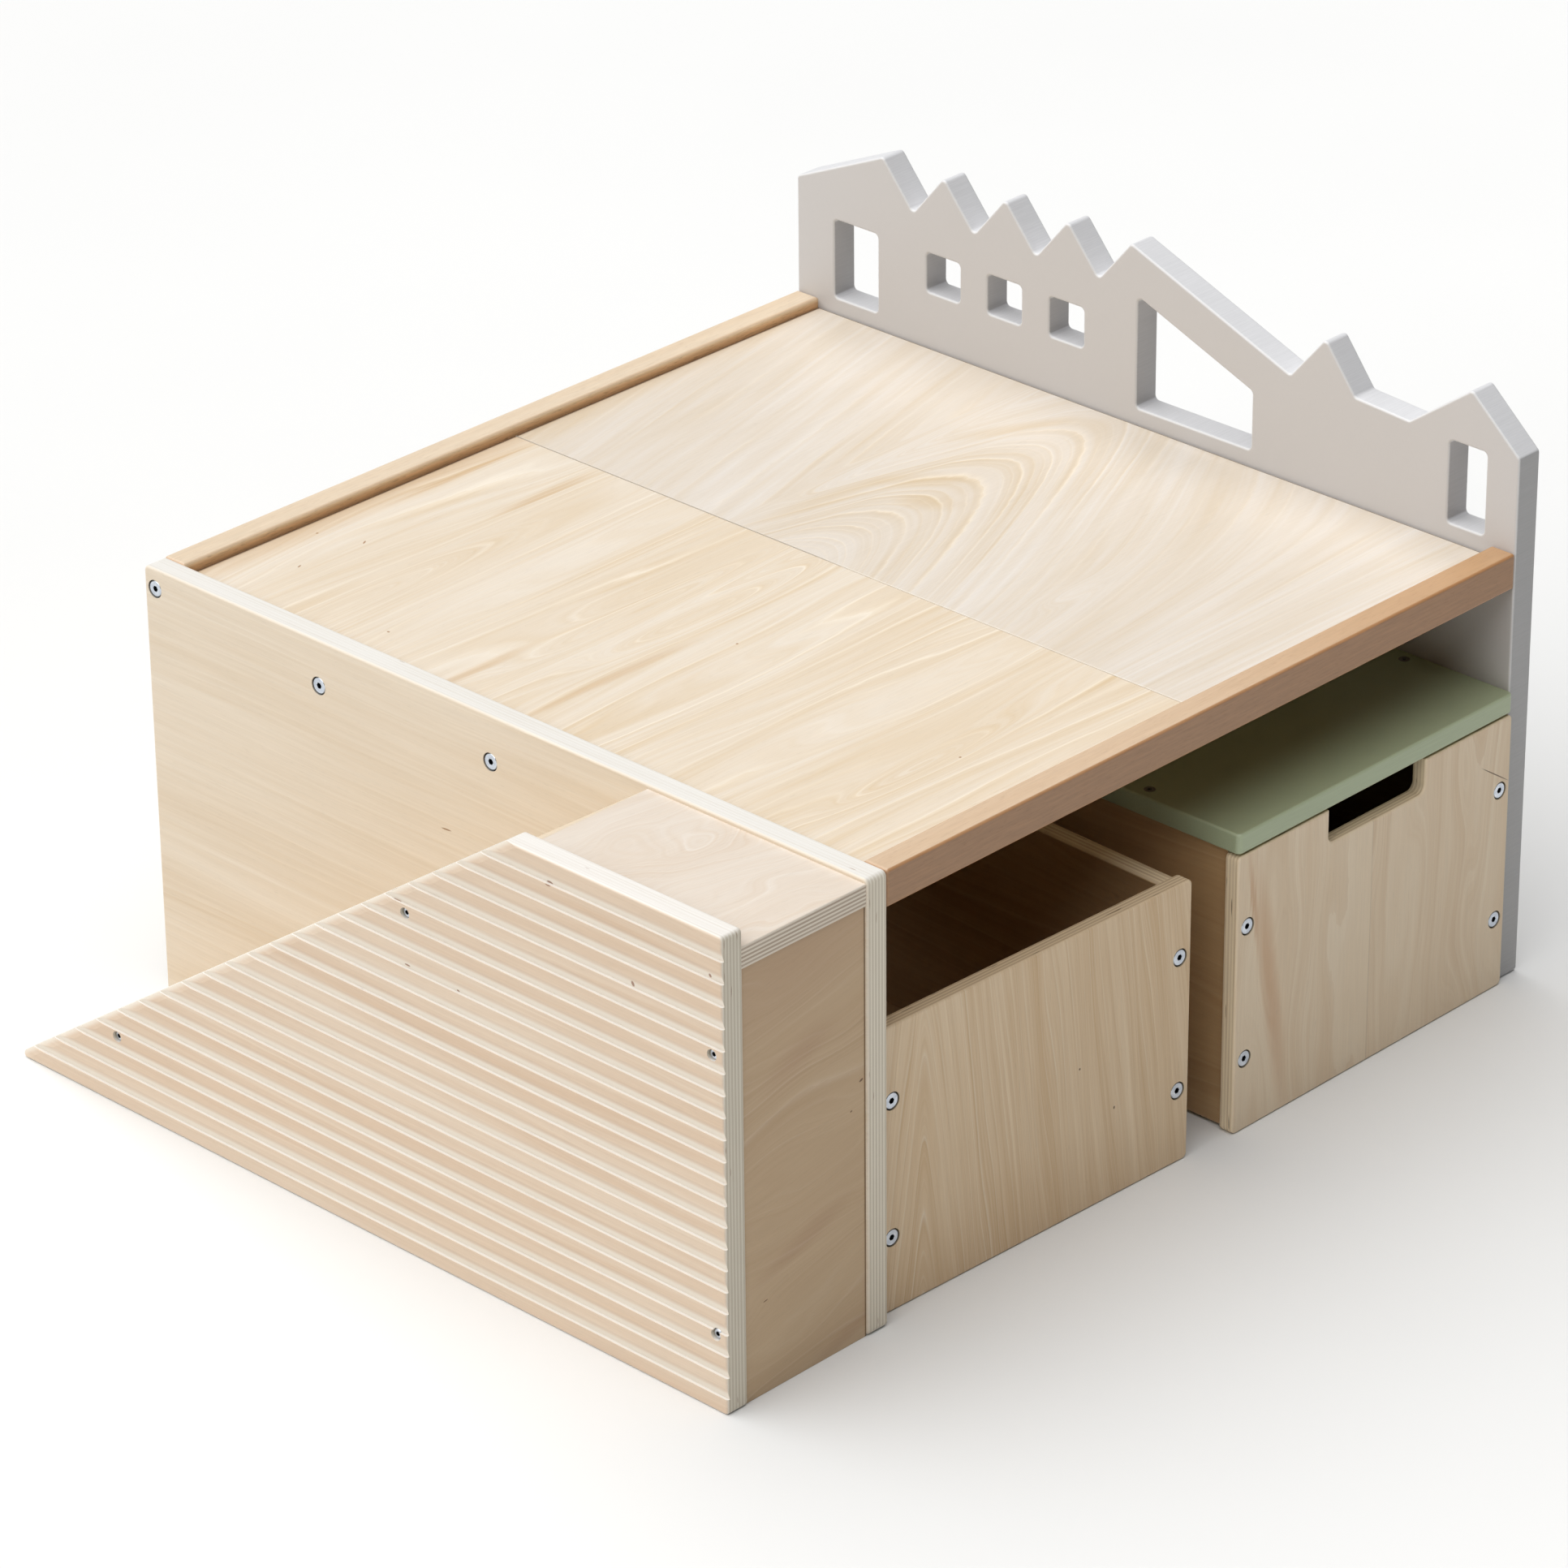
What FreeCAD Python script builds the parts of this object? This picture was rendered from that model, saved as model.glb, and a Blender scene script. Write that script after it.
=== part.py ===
import FreeCAD, Part
import math
import os
import types

import Sketcher
from FreeCAD import Vector

# Play table for small children: a tray top between a plywood side and a painted skyline
# panel, a ramp tower outside the plywood side, a storage box and a seat bench underneath.
# Millimetres. +X runs from the tower to the skyline panel, -Y is the side the benches pull
# out of, +Z is up, and the origin is the middle of the footprint on the floor.

driving_sizes = [
    # table carcass
    ("table_height", 325),
    ("bay_width", 614),
    ("side_thick", 18),
    ("end_thick", 22),
    ("panel_corner", 4),
    ("edge_round", 1.8),
    ("fine_round", 0.9),
    # rails, bearers and deck
    ("rail_width", 20),
    ("rail_height", 26),
    ("rail_ledge", 8),
    ("rail_round", 2.2),
    ("rail_bolt_drop", 15),
    ("bearer_width", 28),
    ("bearer_height", 28),
    ("bearer_spacing", 161),
    ("deck_thick", 12),
    ("deck_drop", 7.5),
    ("deck_gap", 1),
    ("deck_seam", 0.8),
    ("deck_round", 0.6),
    # skyline panel: its roofs add up to the table's depth, its heights start at the table's top
    ("rear_wall_rise", 89),
    ("shed_peak_rise", 126),
    ("shed_valley_rise", 91.5),
    ("hall_eave_rise", 70.5),
    ("gable_rise", 106),
    ("court_rise", 68),
    ("court_fall", 3),
    ("front_wall_rise", 68.5),
    ("rear_roof_run", 84),
    ("shed_pitch", 58.4),
    ("hall_length", 144.4),
    ("hall_eave_run", 198),
    ("small_gable_run", 168),
    ("court_rear_run", 141),
    ("court_front_run", 94),
    ("front_gable_run", 42),
    ("sill_rise", 4.5),
    ("lintel_rise", 65),
    ("small_sill_rise", 35),
    ("rear_door_inset", 36.5),
    ("rear_door_width", 42.5),
    ("small_window_width", 32),
    ("hall_window_rear", 7),
    ("hall_window_front", 33),
    ("hall_window_drop", 35),
    ("front_door_inset", 27.5),
    ("front_door_width", 31.5),
    ("skyline_corner", 3.5),
    # ramp tower
    ("tower_width", 109),
    ("tower_thick", 15),
    ("tower_setback", 2),
    ("platform_setback", 1),
    ("platform_drop", 13.3),
    ("ramp_drop", 10.9),
    ("ramp_nose", 2.5),
    ("ribbed_thick", 18),
    ("ribbed_rise", 10.5),
    ("ribbed_top", 184),
    ("ribbed_overrun", 10),
    ("ribbed_corner", 3),
    ("ribbed_bevel", 6),
    ("bevel_depth", 1.2),
    ("groove_count", 21),
    ("groove_depth", 2),
    ("groove_lip", 0.3),
    ("groove_height", 8),
    ("lowest_groove", 11.2),
    ("top_rib", 17),
    # storage box and bench
    ("headroom", 54),
    ("lid_thick", 15),
    ("lid_gap", 1.5),
    ("lid_round", 2),
    ("front_thick", 12),
    ("board_thick", 15),
    ("board_inset", 3),
    ("board_lift", 2),
    ("board_drop", 3),
    ("bottom_thick", 9),
    ("bottom_lift", 12),
    ("bottom_groove", 5),
    ("bottom_play", 0.2),
    ("front_corner", 4),
    ("grip_width", 100),
    ("grip_depth", 25),
    ("grip_corner", 6),
    ("box_side_gap", 4.5),
    ("bench_side_gap", 0.5),
    ("bench_spacing", 41),
    ("rear_clearance", 17),
    ("rear_margin", 10),
    ("box_setback", 10.5),
    ("bench_overhang", 4),
    # fasteners
    ("bolt_size", 6),
    ("bolt_hole", 6.6),
    ("bolt_head", 11.5),
    ("bolt_head_height", 4),
    ("bolt_chamfer", 0.5),
    ("bolt_tip", 1),
    ("tip_room", 2),
    ("hex_key", 4),
    ("hex_depth", 2.4),
    ("bolt_well", 13),
    ("bolt_well_depth", 4.5),
    ("table_bolt", 48),
    ("box_bolt", 40),
    ("box_bolt_inset", 54),
    ("nut_size", 10),
    ("nut_bore", 6.2),
    ("nut_setback", 26),
    ("table_nut_length", 16),
    ("box_nut_length", 11),
    ("screw_size", 4),
    ("screw_hole", 4.2),
    ("screw_head", 7),
    ("screw_head_height", 2.5),
    ("screw_chamfer", 0.6),
    ("screw_length", 45),
    ("screw_point", 5),
    ("screw_tip", 0.8),
    ("screw_well", 8),
    ("screw_well_depth", 4.5),
    ("screw_key", 3),
    ("screw_inset", 55),
    ("ramp_screw_inset", 90),
    ("lid_screw_head", 8),
    ("lid_screw_length", 45),
    ("lid_screw_inset", 86),
    ("lid_screw_count", 3),
    ("dowel_size", 8),
    ("dowel_depth", 12),
    ("dowel_reach", 18),
    ("dowel_inset", 45),
]

doc = FreeCAD.newDocument("play_table")
sheet = doc.addObject("Spreadsheet::Sheet", "Dims")


class Size:
    # a number that remembers the sheet expression it comes from

    def __init__(self, value, text=None):
        self.value = float(value)
        self.text = text if text else "%g" % value

    def combine(self, other, sign, value):
        return Size(value, "(%s %s %s)" % (self.text, sign, other.text))

    def __add__(self, other):
        other = as_size(other)
        return self.combine(other, "+", self.value + other.value)

    def __sub__(self, other):
        other = as_size(other)
        return self.combine(other, "-", self.value - other.value)

    def __mul__(self, other):
        other = as_size(other)
        return self.combine(other, "*", self.value * other.value)

    def __truediv__(self, other):
        other = as_size(other)
        return self.combine(other, "/", self.value / other.value)

    def __neg__(self):
        return as_size(0) - self


def as_size(number):
    return number if isinstance(number, Size) else Size(number)


def square_root(number):
    return Size(math.sqrt(number.value), "sqrt(%s)" % number.text)


def arc_sine(number):
    return Size(math.degrees(math.asin(number.value)), "asin(%s)" % number.text)


def read_sheet():
    sizes = types.SimpleNamespace()
    for row, (name, value) in enumerate(driving_sizes, start=1):
        sheet.set("A%d" % row, name)
        sheet.set("B%d" % row, str(value))
        sheet.setAlias("B%d" % row, name)
        setattr(sizes, name, Size(value, "Dims." + name))
    doc.recompute()
    return sizes


dim = read_sheet()
zero = Size(0)

# Heights and stations that several pieces share, in the table's own frame: its origin is the
# outer, front, bottom corner of the plywood side panel.
shed_count = 4
hall_peak = dim.hall_eave_run + dim.hall_length
table_depth = hall_peak + dim.shed_pitch * shed_count + dim.rear_roof_run
deck_top = dim.table_height - dim.deck_drop
deck_under = deck_top - dim.deck_thick
bearer_under = deck_under - dim.bearer_height
bearer_middle = deck_under - dim.bearer_height / 2
rail_under = dim.table_height - dim.rail_height
rail_bolt_height = dim.table_height - dim.rail_bolt_drop
bay_end = dim.side_thick + dim.bay_width
bearer_first = table_depth / 2 - dim.bearer_spacing

ribbed_height = dim.table_height + dim.ribbed_rise
ribbed_base = table_depth + dim.ribbed_overrun
ribbed_outer = -(dim.tower_width + dim.ribbed_thick)
ramp_slope = ribbed_height / (ribbed_base - dim.ribbed_top)
ramp_stretch = square_root(ramp_slope * ramp_slope + 1)
platform_top = ribbed_height - dim.platform_drop
platform_under = platform_top - dim.tower_thick
platform_rear = dim.ribbed_top + (dim.platform_drop - dim.ramp_drop) / ramp_slope
ramp_foot = platform_rear + platform_top / ramp_slope

box_width = (dim.bay_width - dim.box_side_gap - dim.bench_side_gap - dim.bench_spacing) / 2
box_depth = table_depth - dim.rear_margin
front_height = bearer_under - dim.headroom - dim.lid_thick - dim.lid_gap
board_middle = dim.board_inset + dim.board_thick / 2

# Where each unit stands: x, y, turn about the vertical in degrees.
table_x = (ribbed_outer + bay_end + dim.end_thick) / -2
table_y = table_depth / -2
table_place = (table_x, table_y, zero)
box_place = (
    table_x + dim.side_thick + dim.box_side_gap,
    table_y + dim.box_setback,
    arc_sine((dim.rear_clearance - dim.bench_spacing) / box_depth),
)
bench_place = (
    table_x + bay_end - dim.bench_side_gap - box_width,
    table_y - dim.bench_overhang,
    zero,
)

pieces = []
nearness = 0.001


def new_body(label, place):
    body = doc.addObject("PartDesign::Body", label)
    body.Label = label
    x, y, turn = place
    body.Placement.Rotation.Axis = Vector(0, 0, 1)
    body.setExpression("Placement.Base.x", x.text)
    body.setExpression("Placement.Base.y", y.text)
    body.setExpression("Placement.Rotation.Angle", turn.text)
    pieces.append(body)
    return body


def origin_plane(body, plane):
    return [item for item in body.Origin.OriginFeatures if item.Role == plane + "_Plane"][0]


def new_sketch(body, plane, level):
    sketch = body.newObject("Sketcher::SketchObject", "Sketch")
    sketch.AttachmentSupport = [(origin_plane(body, plane), "")]
    sketch.MapMode = "FlatFace"
    # the XZ plane looks along -Y, so a level along +Y is a negative offset there
    offset = -level if plane == "XZ" else level
    sketch.setExpression("AttachmentOffset.Base.z", offset.text)
    return sketch


def pin_point(sketch, curve, point, across, up):
    for kind, size in (("DistanceX", across), ("DistanceY", up)):
        rule = Sketcher.Constraint(kind, -1, 1, curve, point, size.value)
        index = sketch.addConstraint(rule)
        sketch.setExpression("Constraints[%d]" % index, size.text)


def draw_outline(sketch, corners):
    points = [Vector(across.value, up.value, 0) for across, up in corners]
    lines = []
    for start, end in zip(points, points[1:] + points[:1]):
        lines.append(sketch.addGeometry(Part.LineSegment(start, end), False))
    for line, following in zip(lines, lines[1:] + lines[:1]):
        sketch.addConstraint(Sketcher.Constraint("Coincident", line, 2, following, 1))
    for line, (across, up) in zip(lines, corners):
        pin_point(sketch, line, 1, across, up)


def draw_circle(sketch, centre, diameter):
    across, up = centre
    ring = Part.Circle(Vector(across.value, up.value, 0), Vector(0, 0, 1), diameter.value / 2)
    curve = sketch.addGeometry(ring, False)
    pin_point(sketch, curve, 3, across, up)
    index = sketch.addConstraint(Sketcher.Constraint("Diameter", curve, diameter.value))
    sketch.setExpression("Constraints[%d]" % index, diameter.text)


def draw_axis(sketch, start, end):
    line = Part.LineSegment(
        Vector(start[0].value, start[1].value, 0), Vector(end[0].value, end[1].value, 0)
    )
    curve = sketch.addGeometry(line, True)
    pin_point(sketch, curve, 1, *start)
    pin_point(sketch, curve, 2, *end)


def rectangle(left, right, low, high):
    return [(left, low), (right, low), (right, high), (left, high)]


def pad(body, sketch, plane, length):
    feature = body.newObject("PartDesign::Pad", "Pad")
    feature.Profile = sketch
    feature.setExpression("Length", length.text)
    feature.Reversed = plane == "XZ"
    body.Tip = feature
    return feature


def pocket(body, sketch, plane, length, forward, slope=None):
    # cuts along the plane's axis, or down a slope while it runs along +Y
    feature = body.newObject("PartDesign::Pocket", "Pocket")
    feature.Profile = sketch
    feature.setExpression("Length", length.text)
    feature.Reversed = forward != (plane == "XZ")
    if slope:
        feature.UseCustomVector = True
        feature.AlongSketchNormal = True
        feature.Direction = Vector(0, 1, -slope.value)
        feature.setExpression("Direction.z", (-slope).text)
    body.Tip = feature
    return feature


def board(label, place, plane, corners, level, thick):
    # a flat piece: its outline on one plane, raised along +X, +Y or +Z from the level
    body = new_body(label, place)
    sketch = new_sketch(body, plane, level)
    draw_outline(sketch, corners)
    pad(body, sketch, plane, thick)
    return body


def drill(body, plane, level, centres, diameter, depth, forward=True):
    sketch = new_sketch(body, plane, level)
    for centre in centres:
        draw_circle(sketch, centre, diameter)
    return pocket(body, sketch, plane, depth, forward)


def cut_outline(body, plane, level, corners, depth, forward=True, slope=None):
    sketch = new_sketch(body, plane, level)
    draw_outline(sketch, corners)
    return pocket(body, sketch, plane, depth, forward, slope)


def extent(edge, axis):
    box = edge.BoundBox
    return {"X": box.XLength, "Y": box.YLength, "Z": box.ZLength}[axis]


def crosses(axis):
    # edges that run straight through a board, along the given axis
    return lambda edge: abs(extent(edge, axis) - edge.Length) < nearness


def rims(axis):
    # edges that lie on the two broad faces of a board
    return lambda edge: extent(edge, axis) < nearness


def round_edges(body, radius, wanted):
    doc.recompute()
    base = body.Tip
    names = ["Edge%d" % (n + 1) for n, edge in enumerate(base.Shape.Edges) if wanted(edge)]
    feature = body.newObject("PartDesign::Fillet", "Fillet")
    feature.Base = (base, names)
    feature.setExpression("Radius", radius.text)
    body.Tip = feature
    return feature


def soften(body, axis, corner, edge):
    round_edges(body, corner, crosses(axis))
    round_edges(body, edge, rims(axis))


def repeat(body, features, plane_1, length_1, count_1, plane_2=None, length_2=None, count_2=1):
    # the pattern runs along the normals of one or two origin planes
    feature = body.newObject("PartDesign::LinearPattern", "LinearPattern")
    feature.Originals = features
    feature.Direction = (origin_plane(body, plane_1), [""])
    feature.setExpression("Length", length_1.text)
    feature.setExpression("Occurrences", as_size(count_1).text)
    if plane_2:
        feature.Direction2 = (origin_plane(body, plane_2), [""])
        feature.setExpression("Length2", length_2.text)
        feature.setExpression("Occurrences2", as_size(count_2).text)
    body.Tip = feature
    return feature


def turned_pin(body, plane, level, seat, along, profile):
    # a round piece: half its profile, as (distance along the axis, radius), swept about the axis
    across, up = seat
    steps = {
        "right": lambda run, radius: (across + run, up + radius),
        "left": lambda run, radius: (across - run, up + radius),
        "down": lambda run, radius: (across + radius, up - run),
    }[along]
    sketch = new_sketch(body, plane, level)
    draw_axis(sketch, steps(profile[0][0], zero), steps(profile[-1][0], zero))
    draw_outline(sketch, [steps(run, radius) for run, radius in profile])
    feature = body.newObject("PartDesign::Revolution", "Revolution")
    feature.Profile = sketch
    feature.ReferenceAxis = (sketch, ["Axis0"])
    feature.Angle = 360
    body.Tip = feature
    return feature


def turned_groove(body, plane, level, seat, profile):
    # a round hole cut downwards, from the same kind of profile
    across, up = seat
    sketch = new_sketch(body, plane, level)
    draw_axis(sketch, (across, up), (across, up - profile[-1][0]))
    draw_outline(sketch, [(across + radius, up - run) for run, radius in profile])
    feature = body.newObject("PartDesign::Groove", "Groove")
    feature.Profile = sketch
    feature.ReferenceAxis = (sketch, ["Axis0"])
    feature.Angle = 360
    body.Tip = feature
    return feature


def hexagon(centre, key):
    across, up = centre
    radius = key / math.sqrt(3)
    corners = []
    for step in range(6):
        angle = math.radians(60 * step)
        corners.append((across + radius * math.cos(angle), up + radius * math.sin(angle)))
    return corners


def cap_bolt_profile(length):
    # measured from the top of the head, with a small chamfer at the head and at the tip
    radius = dim.bolt_size / 2
    head = dim.bolt_head / 2
    tip = dim.bolt_head_height + length
    return [
        (zero, zero),
        (zero, head - dim.bolt_chamfer),
        (dim.bolt_chamfer, head),
        (dim.bolt_head_height, head),
        (dim.bolt_head_height, radius),
        (tip - dim.bolt_tip, radius),
        (tip, radius - dim.bolt_tip),
        (tip, zero),
    ]


def wood_screw_profile():
    radius = dim.screw_size / 2
    head = dim.screw_head / 2
    tip = dim.screw_head_height + dim.screw_length
    return [
        (zero, zero),
        (zero, head - dim.screw_chamfer),
        (dim.screw_chamfer, head),
        (dim.screw_head_height, head),
        (dim.screw_head_height, radius),
        (tip - dim.screw_point, radius),
        (tip, dim.screw_tip / 2),
        (tip, zero),
    ]


def countersunk_profile():
    radius = dim.screw_size / 2
    head = dim.lid_screw_head / 2
    return [
        (zero, zero),
        (zero, head),
        (head - radius, radius),
        (dim.lid_screw_length - dim.screw_point, radius),
        (dim.lid_screw_length, dim.screw_tip / 2),
        (dim.lid_screw_length, zero),
    ]


def bolt_reach(length, panel_thick):
    # depth of the hole behind a panel, with room past the bolt's tip
    return length + dim.bolt_well_depth - panel_thick + dim.tip_room


def screw_reach(panel_thick):
    return dim.screw_length + dim.screw_well_depth - panel_thick + dim.tip_room


# Stations of the fasteners that join the table.
rail_seats = [
    (dim.rail_width / 2, rail_bolt_height),
    (table_depth - dim.rail_width / 2, rail_bolt_height),
]
bearer_seats = [(bearer_first + dim.bearer_spacing * n, bearer_middle) for n in range(3)]

# Screws through both cheeks of the tower: two into the front board, two into the ramp.
front_board_middle = dim.tower_setback + dim.tower_thick / 2
ramp_middle_drop = dim.tower_thick / 2 * ramp_stretch


def ramp_seat(station):
    height = platform_top - (station - platform_rear) * ramp_slope - ramp_middle_drop
    return (station, height)


tower_seats = [
    (front_board_middle, dim.screw_inset),
    (front_board_middle, platform_under - dim.screw_inset),
    ramp_seat(platform_rear + dim.ramp_screw_inset),
    ramp_seat(ramp_foot - dim.ramp_screw_inset),
]
dowel_seats = [
    (dim.platform_setback + dim.dowel_inset, platform_under + dim.tower_thick / 2),
    (platform_rear - dim.dowel_inset, platform_under + dim.tower_thick / 2),
]


def make_side_panel():
    outline = rectangle(zero, table_depth, zero, dim.table_height)
    body = board("side_panel", table_place, "YZ", outline, zero, dim.side_thick)
    soften(body, "X", dim.panel_corner, dim.edge_round)
    bolts = rail_seats + bearer_seats
    drill(body, "YZ", zero, bolts, dim.bolt_well, dim.bolt_well_depth)
    drill(body, "YZ", zero, bolts, dim.bolt_hole, dim.side_thick)
    drill(body, "YZ", dim.side_thick, tower_seats, dim.screw_well, dim.screw_well_depth, False)
    drill(body, "YZ", dim.side_thick, tower_seats, dim.screw_hole, dim.side_thick, False)
    drill(body, "YZ", zero, dowel_seats, dim.dowel_size, dim.dowel_depth)


def skyline_outline():
    # from the floor at the rear, up the rear wall and along the roofs to the front
    def at(run, rise):
        return (run, dim.table_height + rise)

    corners = [
        (table_depth, zero),
        at(table_depth, dim.rear_wall_rise),
    ]
    for shed in range(shed_count):
        peak = table_depth - dim.rear_roof_run - dim.shed_pitch * shed
        corners.append(at(peak, dim.shed_peak_rise))
        corners.append(at(peak - dim.shed_pitch / 2, dim.shed_valley_rise))
    corners += [
        at(hall_peak, dim.shed_peak_rise),
        at(dim.hall_eave_run, dim.hall_eave_rise),
        at(dim.small_gable_run, dim.gable_rise),
        at(dim.court_rear_run, dim.court_rise + dim.court_fall),
        at(dim.court_front_run, dim.court_rise),
        at(dim.front_gable_run, dim.gable_rise),
        at(zero, dim.front_wall_rise),
        (zero, zero),
    ]
    return corners


def hall_roof(run):
    fall = (dim.shed_peak_rise - dim.hall_eave_rise) / (hall_peak - dim.hall_eave_run)
    return dim.table_height + dim.shed_peak_rise - (hall_peak - run) * fall


def skyline_windows():
    sill = dim.table_height + dim.sill_rise
    lintel = dim.table_height + dim.lintel_rise
    small_sill = dim.table_height + dim.small_sill_rise
    door_rear = table_depth - dim.rear_door_inset
    front_door = dim.front_door_inset + dim.front_door_width
    hall_rear = hall_peak - dim.hall_window_rear
    hall_front = dim.hall_eave_run + dim.hall_window_front
    windows = [
        rectangle(door_rear - dim.rear_door_width, door_rear, sill, lintel),
        rectangle(dim.front_door_inset, front_door, sill, lintel),
        [
            (hall_front, sill),
            (hall_rear, sill),
            (hall_rear, hall_roof(hall_rear) - dim.hall_window_drop),
            (hall_front, hall_roof(hall_front) - dim.hall_window_drop),
        ],
    ]
    for shed in range(1, shed_count):
        middle = table_depth - dim.rear_roof_run - dim.shed_pitch * shed
        left = middle - dim.small_window_width / 2
        windows.append(rectangle(left, left + dim.small_window_width, small_sill, lintel))
    return windows


def make_skyline_panel():
    body = board("skyline_panel", table_place, "YZ", skyline_outline(), bay_end, dim.end_thick)
    for window in skyline_windows():
        cut_outline(body, "YZ", bay_end, window, dim.end_thick)
    soften(body, "X", dim.skyline_corner, dim.edge_round)
    outer = bay_end + dim.end_thick
    bolts = rail_seats + bearer_seats
    drill(body, "YZ", outer, bolts, dim.bolt_well, dim.bolt_well_depth, False)
    drill(body, "YZ", outer, bolts, dim.bolt_hole, dim.end_thick, False)


def bore_bar(body, seat, under):
    # a bolt hole in each end of a bar and the cross bores for the barrel nuts, from below
    station, height = seat
    near_reach = bolt_reach(dim.table_bolt, dim.side_thick)
    far_reach = bolt_reach(dim.table_bolt, dim.end_thick)
    drill(body, "YZ", dim.side_thick, [seat], dim.bolt_hole, near_reach)
    drill(body, "YZ", bay_end, [seat], dim.bolt_hole, far_reach, False)
    nuts = [(dim.side_thick + dim.nut_setback, station), (bay_end - dim.nut_setback, station)]
    drill(body, "XY", under, nuts, dim.nut_size, height - under + dim.table_nut_length / 2)


def make_rail(label, seat, mirror):
    inner = dim.rail_width + dim.rail_ledge
    profile = [
        (zero, rail_under),
        (inner, rail_under),
        (inner, deck_under),
        (dim.rail_width, deck_under),
        (dim.rail_width, dim.table_height),
        (zero, dim.table_height),
    ]
    if mirror:
        profile = [(table_depth - across, up) for across, up in profile]
    body = board(label, table_place, "YZ", profile, dim.side_thick, dim.bay_width)
    outer_face = table_depth.value if mirror else 0

    def exposed(edge):
        # every edge of the top face and of the outer face
        box = edge.BoundBox
        on_top = box.ZMin > dim.table_height.value - nearness
        outside = box.YLength < nearness and abs(box.YMax - outer_face) < nearness
        return on_top or outside

    round_edges(body, dim.rail_round, exposed)
    bore_bar(body, seat, rail_under)


def make_bearer(label, seat):
    station, height = seat
    half = dim.bearer_width / 2
    profile = rectangle(station - half, station + half, bearer_under, deck_under)
    body = board(label, table_place, "YZ", profile, dim.side_thick, dim.bay_width)
    bore_bar(body, seat, bearer_under)


def make_deck_panel(label, left, right):
    front = dim.rail_width + dim.deck_gap
    outline = rectangle(left, right, front, table_depth - front)
    body = board(label, table_place, "XY", outline, deck_under, dim.deck_thick)
    round_edges(body, dim.deck_round, rims("Z"))


def make_bolts(label, head_top, along, seats, spacing):
    # a row of bolts in an end panel: the first at the front, the rest along Y
    body = new_body(label, table_place)
    station, height = seats[0]
    profile = cap_bolt_profile(dim.table_bolt)
    bolt = turned_pin(body, "XZ", station, (head_top, height), along, profile)
    sketch = new_sketch(body, "YZ", head_top)
    draw_outline(sketch, hexagon(seats[0], dim.hex_key))
    socket = pocket(body, sketch, "YZ", dim.hex_depth, along == "right")
    repeat(body, [bolt, socket], "XZ", spacing, len(seats))
    body.Tip.Reversed = True


def make_bar_nuts(label, seats, spacing):
    # barrel nuts that stand in the bars, crossed by the bolts
    body = new_body(label, table_place)
    station, height = seats[0]
    first = dim.side_thick + dim.nut_setback
    half = dim.table_nut_length / 2
    sketch = new_sketch(body, "XY", height - half)
    draw_circle(sketch, (first, station), dim.nut_size)
    barrel = pad(body, sketch, "XY", dim.table_nut_length)
    thread = drill(body, "YZ", first - dim.nut_size, [seats[0]], dim.nut_bore, dim.nut_size * 2)
    across = dim.bay_width - dim.nut_setback * 2
    repeat(body, [barrel, thread], "YZ", across, 2, "XZ", spacing, len(seats))
    body.Tip.Reversed2 = True


def make_ribbed_panel():
    corners = [
        (zero, zero),
        (ribbed_base, zero),
        (dim.ribbed_top, ribbed_height),
        (zero, ribbed_height),
    ]
    body = board("ribbed_panel", table_place, "YZ", corners, ribbed_outer, dim.ribbed_thick)
    soften(body, "X", dim.ribbed_corner, dim.edge_round)
    make_bevel(body)
    make_grooves(body)
    drill(body, "YZ", ribbed_outer, tower_seats, dim.screw_well, dim.screw_well_depth)
    drill(body, "YZ", ribbed_outer, tower_seats, dim.screw_hole, dim.ribbed_thick)
    drill(body, "YZ", -dim.tower_width, dowel_seats, dim.dowel_size, dim.dowel_depth, False)


def make_bevel(body):
    # the ribbed face falls away along the slanted edge: a wedge swept down the slope
    face = ribbed_outer
    edge_height = ribbed_height + dim.ribbed_top * ramp_slope
    corners = [
        (face - dim.bevel_depth, edge_height - dim.ribbed_bevel * ramp_stretch),
        (face, edge_height - dim.ribbed_bevel * ramp_stretch),
        (face + dim.bevel_depth, edge_height),
        (face + dim.bevel_depth, edge_height + dim.ribbed_bevel),
        (face - dim.bevel_depth, edge_height + dim.ribbed_bevel),
    ]
    cut_outline(body, "XZ", zero, corners, ribbed_base, slope=ramp_slope)


def make_grooves(body):
    # each groove has a ledge at its foot and fades out upwards
    low = dim.lowest_groove
    face = ribbed_outer
    corners = [
        (face, low),
        (face + dim.groove_depth, low + dim.groove_lip),
        (face, low + dim.groove_height),
        (face - dim.groove_depth, low + dim.groove_height),
        (face - dim.groove_depth, low),
    ]
    groove = cut_outline(body, "XZ", zero, corners, ribbed_base)
    rise = ribbed_height - dim.lowest_groove - dim.top_rib
    repeat(body, [groove], "XY", rise, dim.groove_count)


def front_top_edge(edge):
    box = edge.BoundBox
    at_front = abs(box.YMax - dim.platform_setback.value) < nearness
    return crosses("X")(edge) and at_front and box.ZMin > platform_top.value - nearness


def bore_for_screws(body, seats):
    # screws come in from both cheeks
    drill(body, "YZ", -dim.tower_width, seats, dim.screw_hole, screw_reach(dim.ribbed_thick))
    drill(body, "YZ", zero, seats, dim.screw_hole, screw_reach(dim.side_thick), False)


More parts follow.
